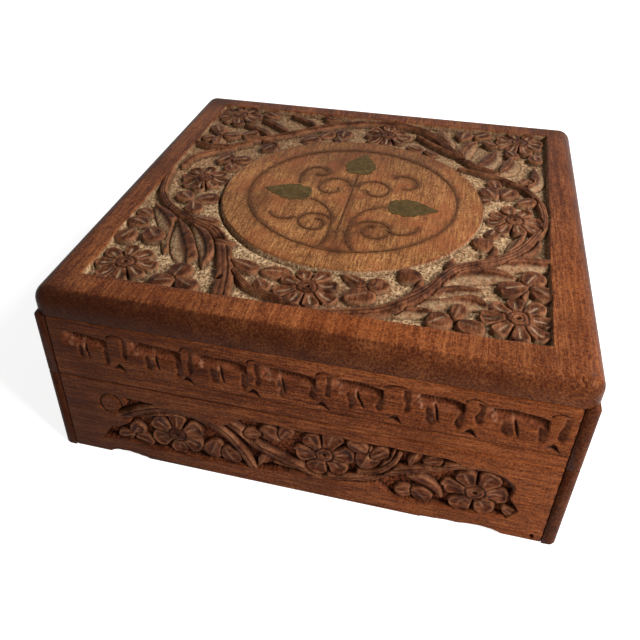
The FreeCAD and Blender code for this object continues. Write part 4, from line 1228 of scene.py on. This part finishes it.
# Solids that stay as they are
finishes = {
    "base_back_board": back_material, "lid_back_strip": lid_back_material,
    "base_bottom_panel": panel_material,
    "inlay_ring": wire_material, "inlay_trunk_wires": wire_material, "inlay_scroll_wires": wire_material,
    "inlay_leaf_left": inlay_material, "inlay_leaf_top": inlay_material, "inlay_leaf_right": inlay_material,
    "base_corner_nails": nail_material, "base_bottom_nails": nail_material, "lid_corner_nails": nail_material,
}
for node_name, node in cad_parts.items():
    node.data.materials.clear()
    node.data.materials.append(finishes.get(node_name, hinge_material))


# Floor, light and camera
def seen_share(tree):
    """1 for rays that show the background to the camera, straight, in a reflection or through glass."""
    path = tree.nodes.new("ShaderNodeLightPath")
    share = path.outputs["Is Camera Ray"]
    for output in ("Is Glossy Ray", "Is Transmission Ray"):
        either = tree.nodes.new("ShaderNodeMath")
        either.operation = "MAXIMUM"
        tree.links.new(share, either.inputs[0])
        tree.links.new(path.outputs[output], either.inputs[1])
        share = either.outputs[0]
    return share


def seen_strength(tree, unseen, seen):
    """A strength that differs between rays that show the background and rays that light the object."""
    strength = tree.nodes.new("ShaderNodeMapRange")
    strength.inputs["To Min"].default_value = unseen
    strength.inputs["To Max"].default_value = seen
    tree.links.new(seen_share(tree), strength.inputs["Value"])
    return strength.outputs[0]


floor_reach = 4.0
floor_drop = 0.0002
floor_glow = 0.8
ambient = 0.2
floor_mesh = bpy.data.meshes.new("floor")
floor_mesh.from_pydata([(-floor_reach, -floor_reach, 0), (floor_reach, -floor_reach, 0),
                        (floor_reach, floor_reach, 0), (-floor_reach, floor_reach, 0)], [], [(0, 1, 2, 3)])
floor = bpy.data.objects.new("floor", floor_mesh)
bpy.context.scene.collection.objects.link(floor)
floor.location.z = -floor_drop
floor_shader = Shader("floor_paint")
floor_shader.set("Base Color", (0.7, 0.7, 0.7, 1))
floor_shader.set("Roughness", 0.8)
floor_shader.set("Specular IOR Level", 0.0)
floor_shader.set("Emission Color", (1, 1, 1, 1))
floor_shader.set("Emission Strength", seen_strength(floor_shader.tree, 0.0, floor_glow))
floor_mesh.materials.append(floor_shader.material)

studio = bpy.data.worlds.new("studio")
studio.use_nodes = True
bpy.context.scene.world = studio
background = studio.node_tree.nodes["Background"]
background.inputs["Color"].default_value = (1, 1, 1, 1)
studio.node_tree.links.new(seen_strength(studio.node_tree, ambient, 1.0), background.inputs["Strength"])


def lamp(name, place, target, size, power):
    """A soft square lamp aimed at a point."""
    data = bpy.data.lights.new(name, "AREA")
    data.size = size
    data.energy = power
    light = bpy.data.objects.new(name, data)
    bpy.context.scene.collection.objects.link(light)
    light.location = place
    light.rotation_euler = (Vector(target) - Vector(place)).to_track_quat("-Z", "Y").to_euler()


# Lamps from the right, behind and before the box
lamp("key", (0.50, 0.30, 0.62), (0.02, 0, 0.06), 0.16, 4.4)
lamp("fill", (0.48, -0.33, 0.40), (0.02, -0.06, 0.05), 0.16, 4.8)

# Camera at the photo's angle
camera_data = bpy.data.cameras.new("camera")
camera = bpy.data.objects.new("camera", camera_data)
bpy.context.scene.collection.objects.link(camera)
camera_data.sensor_width = 36.0
camera_data.lens = 39.52
camera_data.shift_x = 0.0555
camera_data.shift_y = -0.0652
camera_data.clip_start = 0.01
eye = Vector((0.04471, -0.27731, 0.23543))
forward = Vector((-0.21097, 0.78575, -0.58146)).normalized()
right = Vector((0.96685, 0.25529, -0.0058)).normalized()
up = right.cross(forward).normalized()
right = forward.cross(up).normalized()
camera.matrix_world = Matrix((
    (right.x, up.x, -forward.x, eye.x), (right.y, up.y, -forward.y, eye.y),
    (right.z, up.z, -forward.z, eye.z), (0, 0, 0, 1)))
bpy.context.scene.camera = camera
bpy.context.scene.view_settings.view_transform = "Standard"
